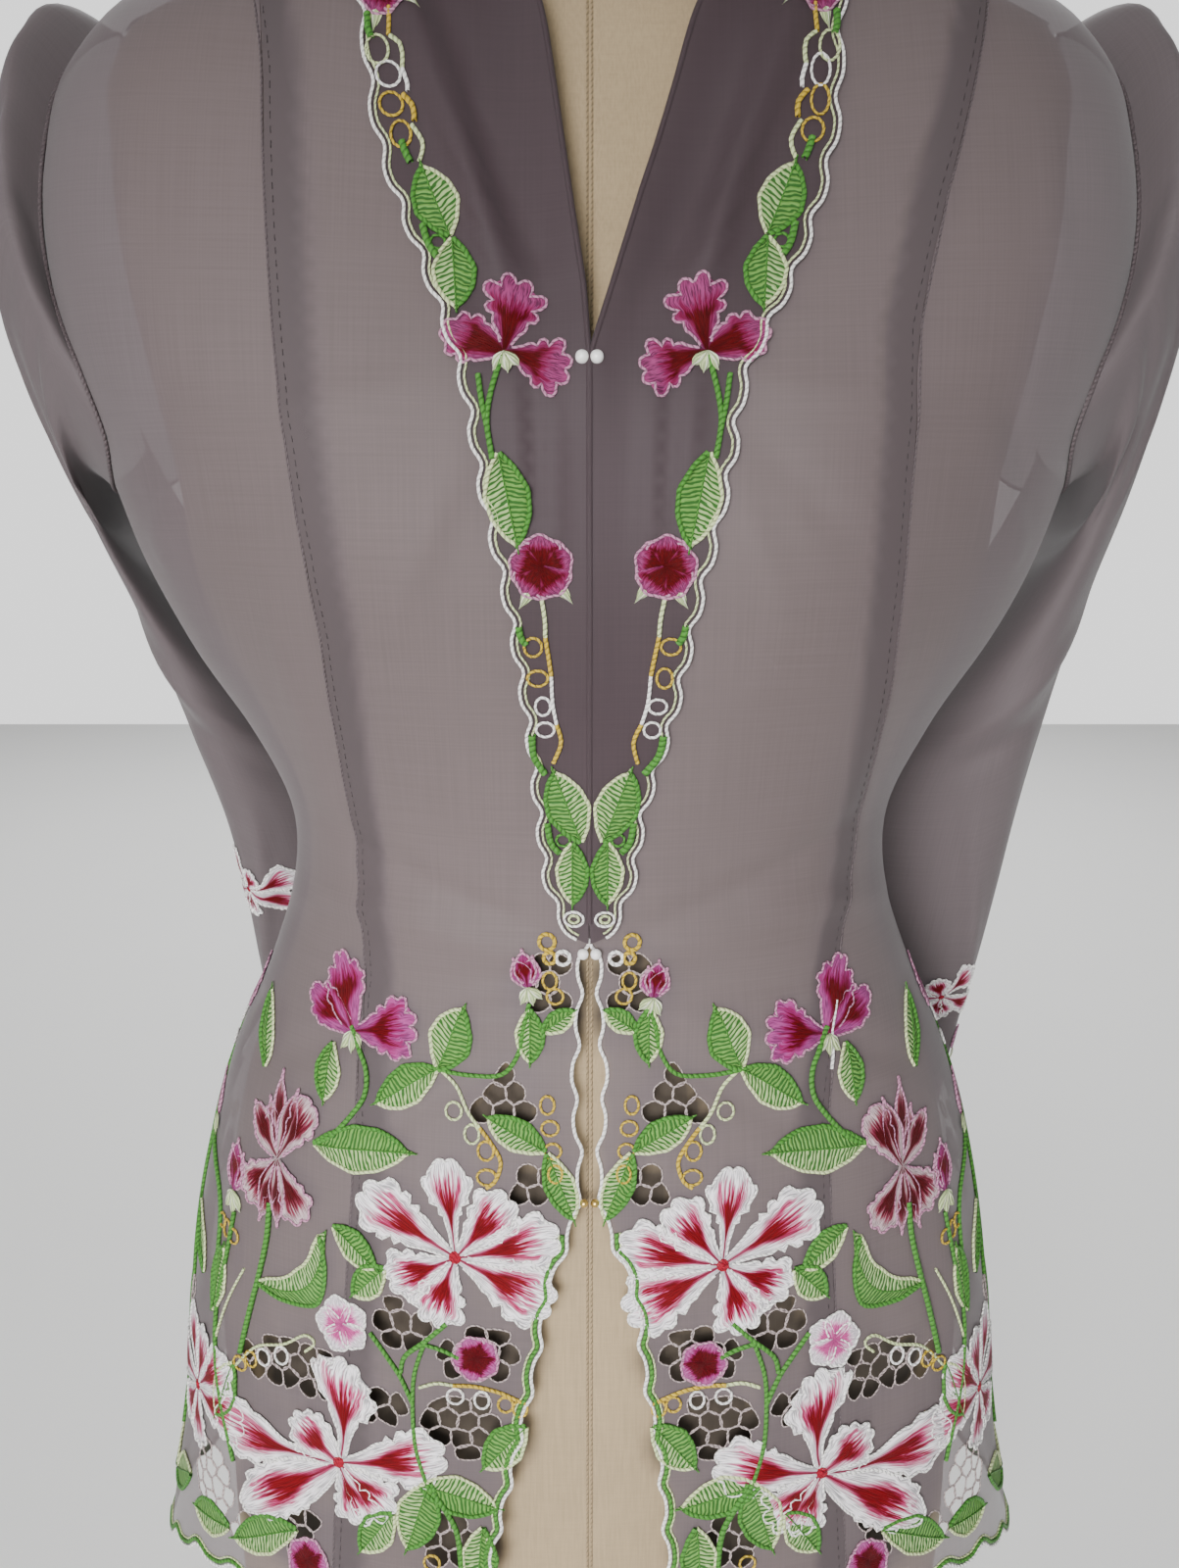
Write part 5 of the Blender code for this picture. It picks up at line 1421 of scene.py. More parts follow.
def cloth_sheet(name, node, at, slot, finish, flat, strips=(), lift=CLOTH_INNER):
    """One panel as a thin sheet, with its cutwork windows and the strips under its seams."""
    s, t, faces = sheet_net(node, lift)
    points = [at(s, t, 0.0)]
    marks = [np.stack((s, t), 1)]
    area = net_area(room.plain.at(s, t), faces) + sum(grid_area(strip) for strip, _ in strips)
    first = faces[0]
    corner = points[0][first]
    normal = np.cross(corner[1] - corner[0], corner[2] - corner[0])
    up = at(s[first], t[first], PROBE) - corner
    if np.dot(normal, up.mean(axis=0)) < 0:
        faces = faces[:, ::-1]
    faces = faces.tolist()
    for strip, strip_marks in strips:
        faces += grid_quads(*strip.shape[:2], sum(len(part) for part in points))
        points.append(strip.reshape(-1, 3))
        marks.append(strip_marks.reshape(-1, 2))
    marks = np.concatenate(marks)
    mesh = new_mesh(name, np.concatenate(points), faces, marks)
    # Painted shade: the fronts' cloth is darker where the princess seam's allowance lies under it
    if node.startswith("front_"):
        side = -1 if node.endswith("left") else 1
        from_seam = table_line(PRINCESS, marks[:, 1], side) - np.abs(marks[:, 0])
        doubled_shade = (PRINCESS_ALLOWANCE + DOUBLED_SHADE_FADE / 2 - from_seam) / DOUBLED_SHADE_FADE
        add_tone(mesh, "Doubled", np.clip(doubled_shade, 0, 1))
    piece = new_piece(mesh, finish, slot)
    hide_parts(node)
    size = math.sqrt(area / (CUT_FILL * flat[0] * flat[1]))
    cut = (round(flat[0] * size, 3), round(flat[1] * size, 3))


def strip_under(side, line, width):
    """A strip of seam allowance under the cloth, along a line (s, t)."""
    line = resample_by(line, STRIP_STEP, 2)
    s = line[:, 0:1] + np.linspace(0, 1, 4) * width
    t = np.broadcast_to(line[:, 1:2], s.shape)
    return room.body.at(side * s, t, STRIP_LIFT), np.stack((s, t), -1)


def princess_line(side):
    t = np.linspace(*PRINCESS_RUN)
    return np.stack((table_line(PRINCESS, t, side), t), 1)


def side_line(run):
    t = np.linspace(*run)
    return np.stack((room.plain.side_s(t), t), 1)


def make_fronts():
    at = room.body.at
    for side, word in SIDES.items():
        strips = [strip_under(side, princess_line(side) + SEAM_ROOM, -PRINCESS_ALLOWANCE)]
        cloth_sheet("front_cloth_" + word, "front_" + word, at, "cloth", "voile", FRONT_CUT, strips)
        strips = [
            strip_under(side, side_line(SIDE_RUN) + SEAM_ROOM, -SEAM_ALLOWANCE),
            strip_under(side, side_line(SHOULDER_RUN) + SHOULDER_ROOM, -SEAM_ALLOWANCE),
        ]
        cloth_sheet("side_cloth_" + word, "side_front_" + word, at, "cloth", "voile", SIDE_CUT, strips)


def make_back():
    line = side_line(SIDE_RUN) - SEAM_ROOM
    strips = [strip_under(side, line, SEAM_ALLOWANCE) for side in SIDES]
    cloth_sheet("back_cloth", "back", room.body.at, "cloth", "voile", BACK_CUT, strips)


# The lapel's roll: height, width, where it starts to open and over what height, and its
# share below that; its least lift, and how far out the right lapel's folds are moved
LAPEL_ROLL = 0.0040
LAPEL_ROLL_WIDTH = 0.0080
LAPEL_OPEN_T = 0.19
LAPEL_OPEN_OVER = 0.06
LAPEL_SHUT = 0.25
LAPEL_LEAST = 0.0011
RIGHT_FOLD_SHIFT = 0.009
# The cord in the fold of the lapel: radius, lift, sides
FOLD_CORD = (0.0011, -0.0012, 8)


def lapel_raise(side):
    """How far the lapel's face stands above the fronts: its roll and its soft folds."""
    shift = 0.0 if side < 0 else RIGHT_FOLD_SHIFT

    def raise_by(s, t):
        from_edge = np.abs(s) - table_line(NECKLINE, t, side)
        roll = LAPEL_ROLL * np.exp(-(from_edge / LAPEL_ROLL_WIDTH) ** 2)
        open_part = np.clip((t - LAPEL_OPEN_T) / LAPEL_OPEN_OVER, 0, 1)
        lift = LAPEL_FACE + roll * (LAPEL_SHUT + (1 - LAPEL_SHUT) * open_part)
        for row in LAPEL_CREASES:
            moved = (row[0] + shift, row[1], row[2] + shift) + row[3:]
            lift = lift + crease(np.abs(s), t, moved)
        return np.maximum(lift, LAPEL_LEAST)

    return raise_by


def lapel_face(side):
    return Face(room.body, side, lapel_raise(side))


def make_lapels():
    for side, word in SIDES.items():
        face = lapel_face(side)

        def at(s, t, lift, raise_by=face.raise_by):
            return room.body.at(s, t, lift + raise_by(s, t))

        cloth_sheet("lapel_cloth_" + word, "lapel_" + word, at, "lapel", "lapel voile", LAPEL_CUT,
                    lift=LAPEL_INNER)
        t = np.linspace(*FOLD_RUN)
        edge = np.stack((table_line(NECKLINE, t, side), t), 1)
        radius, lift, sides = FOLD_CORD
        box = ThreadBox()
        lay_cord(box["lapel voile"], face.at, edge, radius, lift=lift, sides=sides)
        box.make("lapel_roll_" + word, "lapel")


SLEEVE_HALF_WIDTH = 0.14
SLEEVE_CUT_LENGTH = 1.06


def make_sleeves():
    for side, word in SIDES.items():
        skin = room.sleeve(side)
        quads = tube_quads(skin.rows, skin.columns)[:, [0, 3, 2, 1]]
        if side < 0:
            quads = quads[:, ::-1]
        round_share = np.abs(2 * np.arange(skin.columns) / skin.columns - 1)
        marks = np.stack(np.broadcast_arrays(round_share * SLEEVE_HALF_WIDTH, skin.height[:, None]), -1)
        name = "sleeve_cloth_" + word
        mesh = new_mesh(name, skin.points.reshape(-1, 3), quads.tolist(), marks.reshape(-1, 2))
        piece = new_piece(mesh, "sleeve voile", "sleeve")
        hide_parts("sleeve_upper_" + word, "sleeve_lower_" + word)
        length = round(float(skin.height[0]) * SLEEVE_CUT_LENGTH, 3)
        area = round(float(grid_area(skin.points)), 4)


# The form: points round it, rows to the shoulder and up the neck, its grooves, and its
# princess seams as shares of the blouse's own and of the half girth
FORM_COLUMNS = 216
FORM_ROWS = (124, 44)
FORM_SHOULDER_T = 0.30
FORM_SEAM_DEPTH = 0.0007
FORM_SEAM_WIDTH = 0.0012
FORM_PRINCESS = 0.94
FORM_BACK_PRINCESS = 0.76
FORM_CREASE = 55
FORM_SEAM_CORD = 0.0005
FORM_SEAM_GAP = 0.0008
# The painted shade on the form behind the windows: its reach and fade, and how far it
# sinks with height, since the camera looks down through them
PAINTED_SHADE_REACH = 0.007
PAINTED_SHADE_FADE = 0.009
PAINTED_SHADE_DROP = 0.006
PAINTED_SHADE_DROP_RATE = 0.06
PAINTED_SHADE_DROP_T = -0.15


def painted_shade_behind_cutwork(places):
    """How much painted shade the form's face takes at places (s, t) behind a cutwork window."""
    middles = [w.mean(axis=0) for node in CLOTH_PANELS for w in room.cut(node)[1]]
    tree = KDTree(len(middles))
    for k, (s, t) in enumerate(middles):
        drop = PAINTED_SHADE_DROP + PAINTED_SHADE_DROP_RATE * max(0.0, PAINTED_SHADE_DROP_T - t)
        tree.insert((s, t - drop, 0.0), k)
    tree.balance()
    away = np.array([tree.find((s, t, 0.0))[2] for s, t in places])
    return 1 - np.clip((away - PAINTED_SHADE_REACH) / PAINTED_SHADE_FADE, 0, 1)


def form_ring(height, space, share):
    """One ring of the form: its places (s, t) and its points."""
    fore, aside, aft = space
    half = room.plain.half_girth(height)
    s = share * half
    t = np.full(len(s), height)
    away = np.abs(share)
    quarter = room.plain.side_s(height) / half
    angle = np.where(away < quarter, away / quarter, 1 + (away - quarter) / (1 - quarter))
    cosine = np.cos(angle * math.pi / 2)
    depth = np.where(cosine > 0, fore, aft) * cosine ** 2 + aside * (1 - cosine ** 2)
    princess = np.interp(height, PRINCESS[:, 0], PRINCESS[:, 1]) * FORM_PRINCESS
    for seam in (0.0, half, princess, half * FORM_BACK_PRINCESS):
        depth = depth + FORM_SEAM_DEPTH * np.exp(-((np.abs(s) - seam) / FORM_SEAM_WIDTH) ** 2)
    return np.stack((s, t), 1), room.plain.at(s, t, -depth)


def make_form():
    lower = np.linspace(FOOT_HEIGHT - WAIST_Z, FORM_SHOULDER_T, FORM_ROWS[0])[:-1]
    t = np.concatenate((lower, np.linspace(FORM_SHOULDER_T, NECK_TOP, FORM_ROWS[1])))
    turn = 2 * math.pi * np.arange(FORM_COLUMNS) / FORM_COLUMNS
    share = np.where(turn <= math.pi, turn, turn - 2 * math.pi) / math.pi
    rings = [form_ring(height, space, share) for height, space in zip(t, read_rows(FORM_ROOM, t))]
    places = np.concatenate([ring[0] for ring in rings])
    rows = np.array([ring[1] for ring in rings])
    rows[0, :, 2] = FOOT_HEIGHT
    rows[-1, :, 2] = rows[-1, :, 2].mean()
    faces = closed_tube(len(rows), FORM_COLUMNS)
    mesh = new_mesh("form_linen", rows.reshape(-1, 3), faces, crease_angle=FORM_CREASE)
    # The form's linen is painted darker behind the cutwork windows, as painted shade
    add_tone(mesh, "Behind cutwork", painted_shade_behind_cutwork(places))
    piece = new_piece(mesh, "linen", "linen")
    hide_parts("dress_form")
    make_form_seam(rows[:, 0])


def make_form_seam(front):
    """The pressed seam down the middle of the form: two fine ridges."""
    def put(x, row, lift):
        line = curve_between(front, np.asarray(row, float), wrap=False)
        return line + np.stack((x, -np.broadcast_to(lift, np.shape(x)), 0 * x), 1)

    box = ThreadBox()
    steps = np.arange(2.0, len(front) - 4, 0.5)
    for x in (-FORM_SEAM_GAP, FORM_SEAM_GAP):
        line = np.stack((np.full(len(steps), x), steps), 1)
        lay_cord(box["linen thread"], put, line, FORM_SEAM_CORD, lift=0.0)
    box.make("form_seam", "linen")


PLATE_SIDES = 120
PLATE_BEVEL = 0.0015
PLATE_CREASE = 40


def oval_plate(name, node, edge):
    """A turned oval plate with a rounded edge, as big as its solid."""
    low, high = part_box(node)
    middle = (low + high) / 2
    half = (high - low) / 2
    turn = 2 * math.pi * np.arange(PLATE_SIDES) / PLATE_SIDES
    profile = [(PLATE_BEVEL, -half.z), (0.0, -half.z + PLATE_BEVEL)]
    for a in np.linspace(0, math.pi / 2, 6):
        profile.append((edge * (1 - math.cos(a)), half.z - edge + edge * math.sin(a)))
    points = np.concatenate([np.stack((
        middle.x + (half.x - inset) * np.cos(turn),
        middle.y + (half.y - inset) * np.sin(turn),
        np.full(PLATE_SIDES, middle.z + height),
    ), 1) for inset, height in profile])
    faces = closed_tube(len(profile), PLATE_SIDES)
    mesh = new_mesh(name, points, faces, crease_angle=PLATE_CREASE)
    piece = new_piece(mesh, "wood", "wood")
    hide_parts(node)


def make_stand():
    oval_plate("foot_board", "form_base", 0.0045)
    oval_plate("neck_top", "neck_cap", 0.0050)


BEAD_ROWS = 20
BEAD_COLUMNS = 32
BEAD_UNEVEN = 0.02
# Beads: name, node, finish and slot
BEADS = (
    ("upper_pearl_", "pearl_upper_", "pearl"),
    ("lower_pearl_", "pearl_lower_", "pearl"),
    ("gold_ball_", "gold_bead_", "gold"),
)
# Thread loops beside the lower pearls: s, t, radius, thread
LOOPS = (
    (0.0160, 0.010, 0.0030, "gold thread"),
    (0.0150, 0.004, 0.0022, "gold thread"),
    (0.0100, 0.004, 0.0026, "white thread"),
)
LOOP_CORD = 0.0008
LOOP_SIDES = 12
BAR_CORD = 0.0003
BAR_ROOM = 0.0001


def make_bead(name, node, finish):
    """A slightly uneven bead in the place of its solid."""
    low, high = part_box(node)
    middle = np.array((low + high) / 2)
    radius = (high.z - low.z) / 2
    rise = np.linspace(0, math.pi, BEAD_ROWS)[:, None]
    turn = np.linspace(0, 2 * math.pi, BEAD_COLUMNS + 1)[None, :]
    uneven = 1 + BEAD_UNEVEN * np.sin(2 * turn + 3 * rise) * np.sin(rise)
    away = np.stack(np.broadcast_arrays(
        radius * uneven * np.sin(rise) * np.cos(turn),
        radius * uneven * np.sin(rise) * np.sin(turn),
        radius * uneven * np.cos(rise)), -1)
    marks = np.stack(np.broadcast_arrays(turn / (2 * math.pi), rise / math.pi), -1)
    bead = Stitches()
    bead.grid(middle + away, marks, away[:-1, :-1])
    piece = bead.make(name, finish, finish)
    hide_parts(node)


def make_fastenings():
    for word in SIDES.values():
        for name, node, finish in BEADS:
            make_bead(name + word, node + word, finish)
    box = ThreadBox()
    for side in SIDES:
        face = Face(room.body, side)
        for s, t, radius, thread in LOOPS:
            loop = oval_loop(radius, radius, LOOP_SIDES)
            lay_cord(box[thread], Motif(face, s, t).put, loop, LOOP_CORD, closed=True)
    box.make("fastening", "cloth")


def make_cutwork():
    """Wraps the bars between the cutwork windows in thread."""
    box = ThreadBox()
    for node in CLOTH_PANELS:
        for window in room.cut(node)[1]:
            loop = rounded(grown(window, HOLE_GROWTH + BAR_ROOM), WINDOW_PARTS)
            lay_cord(box["bar thread"], room.body.at, loop, BAR_CORD, lift=BAR_ROOM, closed=True)
    box.make("cutwork", "cloth")


def runs(line, keep):
    """The stretches of a closed line whose points are kept."""
    if keep.all():
        return [line]
    start = int(np.argmin(keep))
    line = np.roll(line, -start, axis=0)
    keep = np.roll(keep, -start)
    found = []
    current = []
    for point, kept in zip(line, keep):
        if kept:
            current.append(point)
        elif current:
            found.append(np.array(current))
            current = []
    if current:
        found.append(np.array(current))
    return [run for run in found if len(run) > 4]


def moved_in(line, distance):
    """A closed outline's line moved inward."""
    way = unit(np.gradient(line, axis=0))
    return line + np.stack((-way[:, 1], way[:, 0]), 1) * distance


# Borders: steps of their lines, nearness to a seam where they stop, lift, and the
# height under which the fronts carry all of their cords
BORDER_STEP = 0.0016
SEAM_NEAR = 0.0012
BORDER_LIFT = 0.0002
LOWER_T = -0.10
# Where borders run: on the fronts under a height and near the opening, on the sides and
# the back along the hem, on the lapels clear of the neck's edge and below a height
FRONT_BORDER_T = 0.012
FRONT_BORDER_S = 0.1055
SIDE_BORDER_T = -0.255
BACK_BORDER_T = -0.286
NECK_CLEAR = 0.0045
LAPEL_BORDER_T = 0.3895
COLLAR_BORDER_T = 0.392
COLLAR_CLEAR = 0.0015
# Cords of a border: thread, distance in from the edge, radius
FRONT_CORDS = (("white thread", 0.0, 0.00070),)
LOWER_CORDS = (("green thread", 0.0018, 0.00085), ("cream thread", 0.0031, 0.00040))
LAPEL_CORDS = (("white thread", 0.0, 0.00062), ("cream thread", 0.0019, 0.00042))
BACK_CORDS = (("white thread", 0.0, 0.00085), ("green thread", 0.0018, 0.00085))
# On a wrist the distance is in rows of the sleeve
WRIST_CORDS = (("white thread", 0.0, 0.00085), ("green thread", 0.8, 0.00085))


def border_of(node, side):
    """The parts of a panel's outline that carry the scalloped border."""
    outline, _ = room.cut(node, LAPEL_INNER if node.startswith("lapel") else CLOTH_INNER)
    if loop_area(outline) < 0:
        outline = outline[::-1]
    line = eased(outline, BORDER_STEP)
    s, t = np.abs(line[:, 0]), line[:, 1]
    plain = room.plain
    princess = np.abs(s - table_line(PRINCESS, t, side)) < SEAM_NEAR
    if node.startswith("lapel"):
        before = (t < LAPEL_BORDER_T) & (s >= table_line(NECKLINE, t, side) + NECK_CLEAR)
        behind = (t < COLLAR_BORDER_T) & (s < plain.half_girth(t) - COLLAR_CLEAR)
        keep = np.where(s > plain.side_s(t), behind, before)
    elif node.startswith("front"):
        keep = (t < FRONT_BORDER_T) & ~princess & (s < FRONT_BORDER_S)
    elif node.startswith("side"):
        seam = np.abs(s - plain.side_s(t)) < SEAM_NEAR
        keep = (t < SIDE_BORDER_T) & ~princess & ~seam
    else:
        keep = t < BACK_BORDER_T
    return runs(line, keep)


def lay_border(box, put, line, cords, mirror=1):
    for thread, distance, radius in cords:
        path = moved_in(line, distance) * (mirror, 1)
        lay_cord(box[thread], put, path, radius, lift=BORDER_LIFT)


def make_borders():
    """The white scalloped cord round the edges, with its green satin line inside."""
    cloth = ThreadBox()
    lapels = ThreadBox()
    for side, word in SIDES.items():
        for node in ("front_", "side_front_"):
            for line in border_of(node + word, side):
                lay_border(cloth, room.body.at, line, FRONT_CORDS)
                lower = line[line[:, 1] < LOWER_T]
                if len(lower) > 6:
                    lay_border(cloth, room.body.at, lower, LOWER_CORDS)
        face = lapel_face(side)
        for line in border_of("lapel_" + word, side):
            lay_border(lapels, face.at, line, LAPEL_CORDS, side)
    for line in border_of("back", 1):
        lay_border(cloth, room.body.at, line, BACK_CORDS)
    for side in SIDES:
        skin = room.sleeve(side)
        columns = np.arange(0, skin.columns + 0.001, 0.5)

        def wrist(column, rows_up, lift, skin=skin):
            return skin.read(np.full(len(column), skin.rows - 1.01) - rows_up, column, lift)

        for thread, rows_up, radius in WRIST_CORDS:
            path = np.stack((columns, np.full(len(columns), rows_up)), 1)
            lay_cord(cloth[thread], wrist, path, radius, lift=BORDER_LIFT)
    cloth.make("border", "cloth")
    lapels.make("lapel_border", "lapel")


# Seams: radius and lift of their ridges, of the armhole's ridge and its row, and the
# running stitches' place, pitch and radius
RIDGE = (0.00042, -0.0002)
ARMHOLE_RIDGE = (0.0009, -0.0003)
ARMHOLE_ROW = 0.4
RIDGE_STEP = 0.004
STITCH_ROOM = (0.0030, 0)
STITCH_PITCH = 0.0040
STITCH_RADIUS = 0.00016


def make_seams():
    """The raised seam lines with their small running stitches."""
    box = ThreadBox()
    for side in SIDES:
        face = Face(room.body, side)
        for line in (princess_line(side), side_line(SIDE_RUN), side_line(SHOULDER_RUN)):
            line = resample_by(line, RIDGE_STEP, 4)
            lay_cord(box["seam ridge"], face.at, line, RIDGE[0], lift=RIDGE[1])
        line = princess_line(side) - STITCH_ROOM
        fine = resample(line, round(way_along(line)[-1] / STITCH_PITCH) * 4)
        for k in range(0, len(fine) - 3, 4):
            lay_cord(box["seam thread"], face.at, fine[k:k + 3], STITCH_RADIUS, lift=0.0, sides=4)
        skin = room.sleeve(side)
        columns = np.arange(0, skin.columns + 1, 1.0)

        def top(column, row, lift, skin=skin):
            return skin.read(row, column, lift)

        path = np.stack((columns, np.full(len(columns), ARMHOLE_ROW)), 1)
        lay_cord(box["seam ridge"], top, path, ARMHOLE_RIDGE[0], lift=ARMHOLE_RIDGE[1])
    box.make("seam", "cloth")


def make_body_embroidery():
    box = ThreadBox()
    for side in SIDES:
        face = Face(room.body, side)
        for kind, s_left, t_left, s_right, t_right, turn, size in FLOWER_PLACES:
            s, t = (s_left, t_left) if side < 0 else (s_right, t_right)
            lay_flower(box, face, kind, s, t, turn, size)
        for row in BACK_FLOWER_PLACES:
            lay_flower(box, face, *row)
        for row in LEAVES:
            lay_leaf(box, face, *row)
        for row in STEMS:
            lay_stem(box, face.at, *row)
        for row in RINGS:
            lay_rings(box, face, row)
    box.make("body_stitch", "cloth")


def make_lapel_embroidery():
    box = ThreadBox()
    for side in SIDES:
        face = lapel_face(side)

        def moved(s, t, side=side):
            shift = np.interp(t, LAPEL_SHIFT[:, 0], LAPEL_SHIFT[:, 1]) if side > 0 else 0.0
            return s + float(shift), t

        for kind, s, t, turn, size in LAPEL_FLOWER_PLACES:
            lay_flower(box, face, kind, *moved(s, t), turn, size)
        for s, t, *rest in LAPEL_LEAVES:
            lay_leaf(box, face, *moved(s, t), *rest)
        for thread, radius, points in LAPEL_STEMS:
            lay_stem(box, face.at, thread, radius, [moved(s, t) for s, t in points])
        for s0, t0, s1, t1, *rest in LAPEL_RINGS:
            lay_rings(box, face, (*moved(s0, t0), *moved(s1, t1), *rest))
    box.make("lapel_stitch", "lapel")


CUFF_MIDDLE_T = 0.05


def make_cuff_embroidery():
    box = ThreadBox()
    for side in SIDES:
        skin = room.sleeve(side)
        face = Face(skin, 1)
        girth = float(np.interp(CUFF_MIDDLE_T, skin.height[::-1], skin.girth[::-1]))
        for kind, share, *rest in CUFF_FLOWERS + SLEEVE_FLOWERS[side]:
            lay_flower(box, face, kind, share * girth, *rest)
        for share, *rest in CUFF_LEAVES:
            lay_leaf(box, face, share * girth, *rest)
    box.make("cuff_stitch", "sleeve")


class Graph:
    """A node tree that is wired by short calls."""

    def __init__(self, tree):
        self.tree = tree

    def node(self, kind, inputs=None, **settings):
        item = self.tree.nodes.new(kind)
        for key, value in settings.items():
            setattr(item, key, value)
        for key, value in (inputs or {}).items():
            self.feed(item.inputs[key], value)
        return item

    def feed(self, socket, value):
        if isinstance(value, bpy.types.NodeSocket):
            self.tree.links.new(value, socket)
        else:
            socket.default_value = value

    def math(self, operation, a, b=0.0):
        return self.node("ShaderNodeMath", {0: a, 1: b}, operation=operation).outputs[0]

    def add(self, a, b):
        return self.math("ADD", a, b)

    def less(self, a, b):
        return self.math("SUBTRACT", a, b)

    def times(self, a, b):
        return self.math("MULTIPLY", a, b)

    def blend(self, a, share_a, b, share_b):
        """The sum of two values, each with its share."""
        return self.add(self.times(a, share_a), self.times(b, share_b))

    def centred(self, value):
        """A value from 0 to 1 spread to -1 to 1."""
        return self.less(self.times(value, 2.0), 1.0)

    def mix(self, share, a, b):
        item = self.node("ShaderNodeMix", data_type="RGBA")
        self.feed(item.inputs["Factor"], share)
        self.feed(item.inputs[6], a)
        self.feed(item.inputs[7], b)
        return item.outputs[2]

    def noise(self, vector, scale, detail=3.0, rough=0.5):
        return self.node("ShaderNodeTexNoise", {
            "Vector": vector, "Scale": scale, "Detail": detail, "Roughness": rough,
        }).outputs["Fac"]

    def stretch(self, vector, x, y, z=1.0):
        return self.node("ShaderNodeMapping", {"Vector": vector, "Scale": (x, y, z)}).outputs["Vector"]

    def soft_step(self, value, low, high):
        return self.node("ShaderNodeMapRange", {
            "Value": value, "From Min": low, "From Max": high, "To Min": 0.0, "To Max": 1.0,
        }, interpolation_type="SMOOTHSTEP").outputs["Result"]

    def thread_place(self):
        """The pattern coordinates, whole and in parts."""
        place = self.node("ShaderNodeUVMap", uv_map="Thread").outputs[0]
        return place, self.node("ShaderNodeSeparateXYZ", {0: place}).outputs

    def position(self):
        return self.node("ShaderNodeNewGeometry").outputs["Position"]

    def own_place(self):
        return self.node("ShaderNodeTexCoord").outputs["Object"]

    def tone(self, name):
        return self.node("ShaderNodeAttribute", attribute_name=name).outputs["Fac"]


def effect(name, inputs, outputs, wire):
    """A shared node group with named inputs and outputs, built once."""
    if name in bpy.data.node_groups:
        return bpy.data.node_groups[name]
    group = bpy.data.node_groups.new(name, "ShaderNodeTree")
    for title, kind, default in inputs:
        socket = group.interface.new_socket(title, in_out="INPUT", socket_type=kind)
        socket.default_value = default
    for title, kind in outputs:
        group.interface.new_socket(title, in_out="OUTPUT", socket_type=kind)
    graph = Graph(group)
    given = graph.node("NodeGroupInput").outputs
    result = graph.node("NodeGroupOutput").inputs
    for title, value in wire(graph, given).items():
        graph.feed(result[title], value)
    return group


COLOUR = "NodeSocketColor"
FLOAT = "NodeSocketFloat"
HEIGHT_AND_SHADE = (("Height", FLOAT), ("Shade", FLOAT))
COLOUR_AND_HEIGHT = (("Color", COLOUR), ("Height", FLOAT))
FULL_TURN = 6.2832
HALF_TURN = 3.1416
VOILE_PITCH = 0.00062


def woven_effect():
    """Plain weave: crossing threads with slubs, in metres of cloth."""
    def wire(graph, given):
        place, parts = graph.thread_place()
        turns = graph.math("DIVIDE", FULL_TURN, given["Pitch"])
        across = graph.math("SINE", graph.times(parts[0], turns))
        along = graph.math("SINE", graph.times(parts[1], turns))
        slub_x = graph.noise(graph.stretch(place, 1500.0, 20.0), 1.0, 1.0)
        slub_y = graph.noise(graph.stretch(place, 20.0, 1500.0), 1.0, 1.0)
        slub = graph.times(graph.add(slub_x, slub_y), 0.5)
        height = graph.add(graph.times(graph.times(across, along), 0.3), slub)
        shade = graph.blend(slub, 0.65, graph.noise(place, 9.0, 2.0), 0.35)
        return {"Height": height, "Shade": graph.soft_step(shade, 0.30, 0.70)}
    return effect("Woven threads", (("Pitch", FLOAT, VOILE_PITCH),), HEIGHT_AND_SHADE, wire)


def petal_effect():
    """Long and short stitches: a deep throat that runs out in flames to a pale rim."""
    def wire(graph, given):
        place, parts = graph.thread_place()
        r = parts[0]
        side = graph.math("ABSOLUTE", graph.centred(parts[1]))
        drift = graph.noise(graph.position(), 60.0, 1.0)
        seed = graph.node("ShaderNodeCombineXYZ", {0: 0.0, 1: 0.0, 2: drift}).outputs[0]
        moved = graph.node("ShaderNodeVectorMath", {0: place, 1: seed}, operation="ADD").outputs[0]
        streak = graph.noise(graph.stretch(moved, 2.2, 26.0, 3.0), 1.0, 2.0, 0.7)
        fine = graph.noise(graph.stretch(moved, 7.0, 46.0, 3.0), 1.0, 1.0, 0.5)
        edge = graph.less(streak, 0.5)
        reach = graph.add(r, graph.times(edge, given["Fray"]))
        opening = graph.math("MAXIMUM", graph.soft_step(r, 0.22, 0.58), given["Roundness"])
        width = graph.times(given["Throat width"], graph.add(graph.times(opening, 0.88), 0.12))
        beside = graph.less(side, width)
        length = given["Throat length"]
        narrow = graph.soft_step(graph.add(beside, graph.times(edge, 0.5)), 0.16, -0.10)
        deep = graph.times(graph.soft_step(reach, length, graph.less(length, 0.10)), narrow)
        broad = graph.soft_step(graph.add(beside, graph.times(edge, 0.6)), 0.34, 0.02)
        wide = graph.add(length, 0.12)
        mid = graph.times(graph.soft_step(reach, wide, graph.less(wide, 0.14)), broad)
        shadow = graph.soft_step(fine, 0.34, 0.60)
        rim = graph.mix(shadow, given["Rim shade"], given["Rim"])
        colour = graph.mix(deep, graph.mix(mid, rim, given["Fringe"]), given["Throat"])
        darker = graph.mix(shadow, given["Throat shade"], colour)
        return {"Color": graph.mix(graph.times(deep, 0.8), colour, darker), "Height": fine}
    inputs = (
        ("Throat", COLOUR, (0.30, 0.004, 0.03, 1)),
        ("Throat shade", COLOUR, (0.14, 0.002, 0.012, 1)),
        ("Fringe", COLOUR, (0.72, 0.14, 0.36, 1)),
        ("Rim", COLOUR, (0.86, 0.84, 0.86, 1)),
        ("Rim shade", COLOUR, (0.58, 0.55, 0.60, 1)),
        ("Throat length", FLOAT, 0.68),
        ("Throat width", FLOAT, 0.42),
        ("Fray", FLOAT, 0.55),
        ("Roundness", FLOAT, 0.0),
    )
    return effect("Long and short stitch", inputs, COLOUR_AND_HEIGHT, wire)


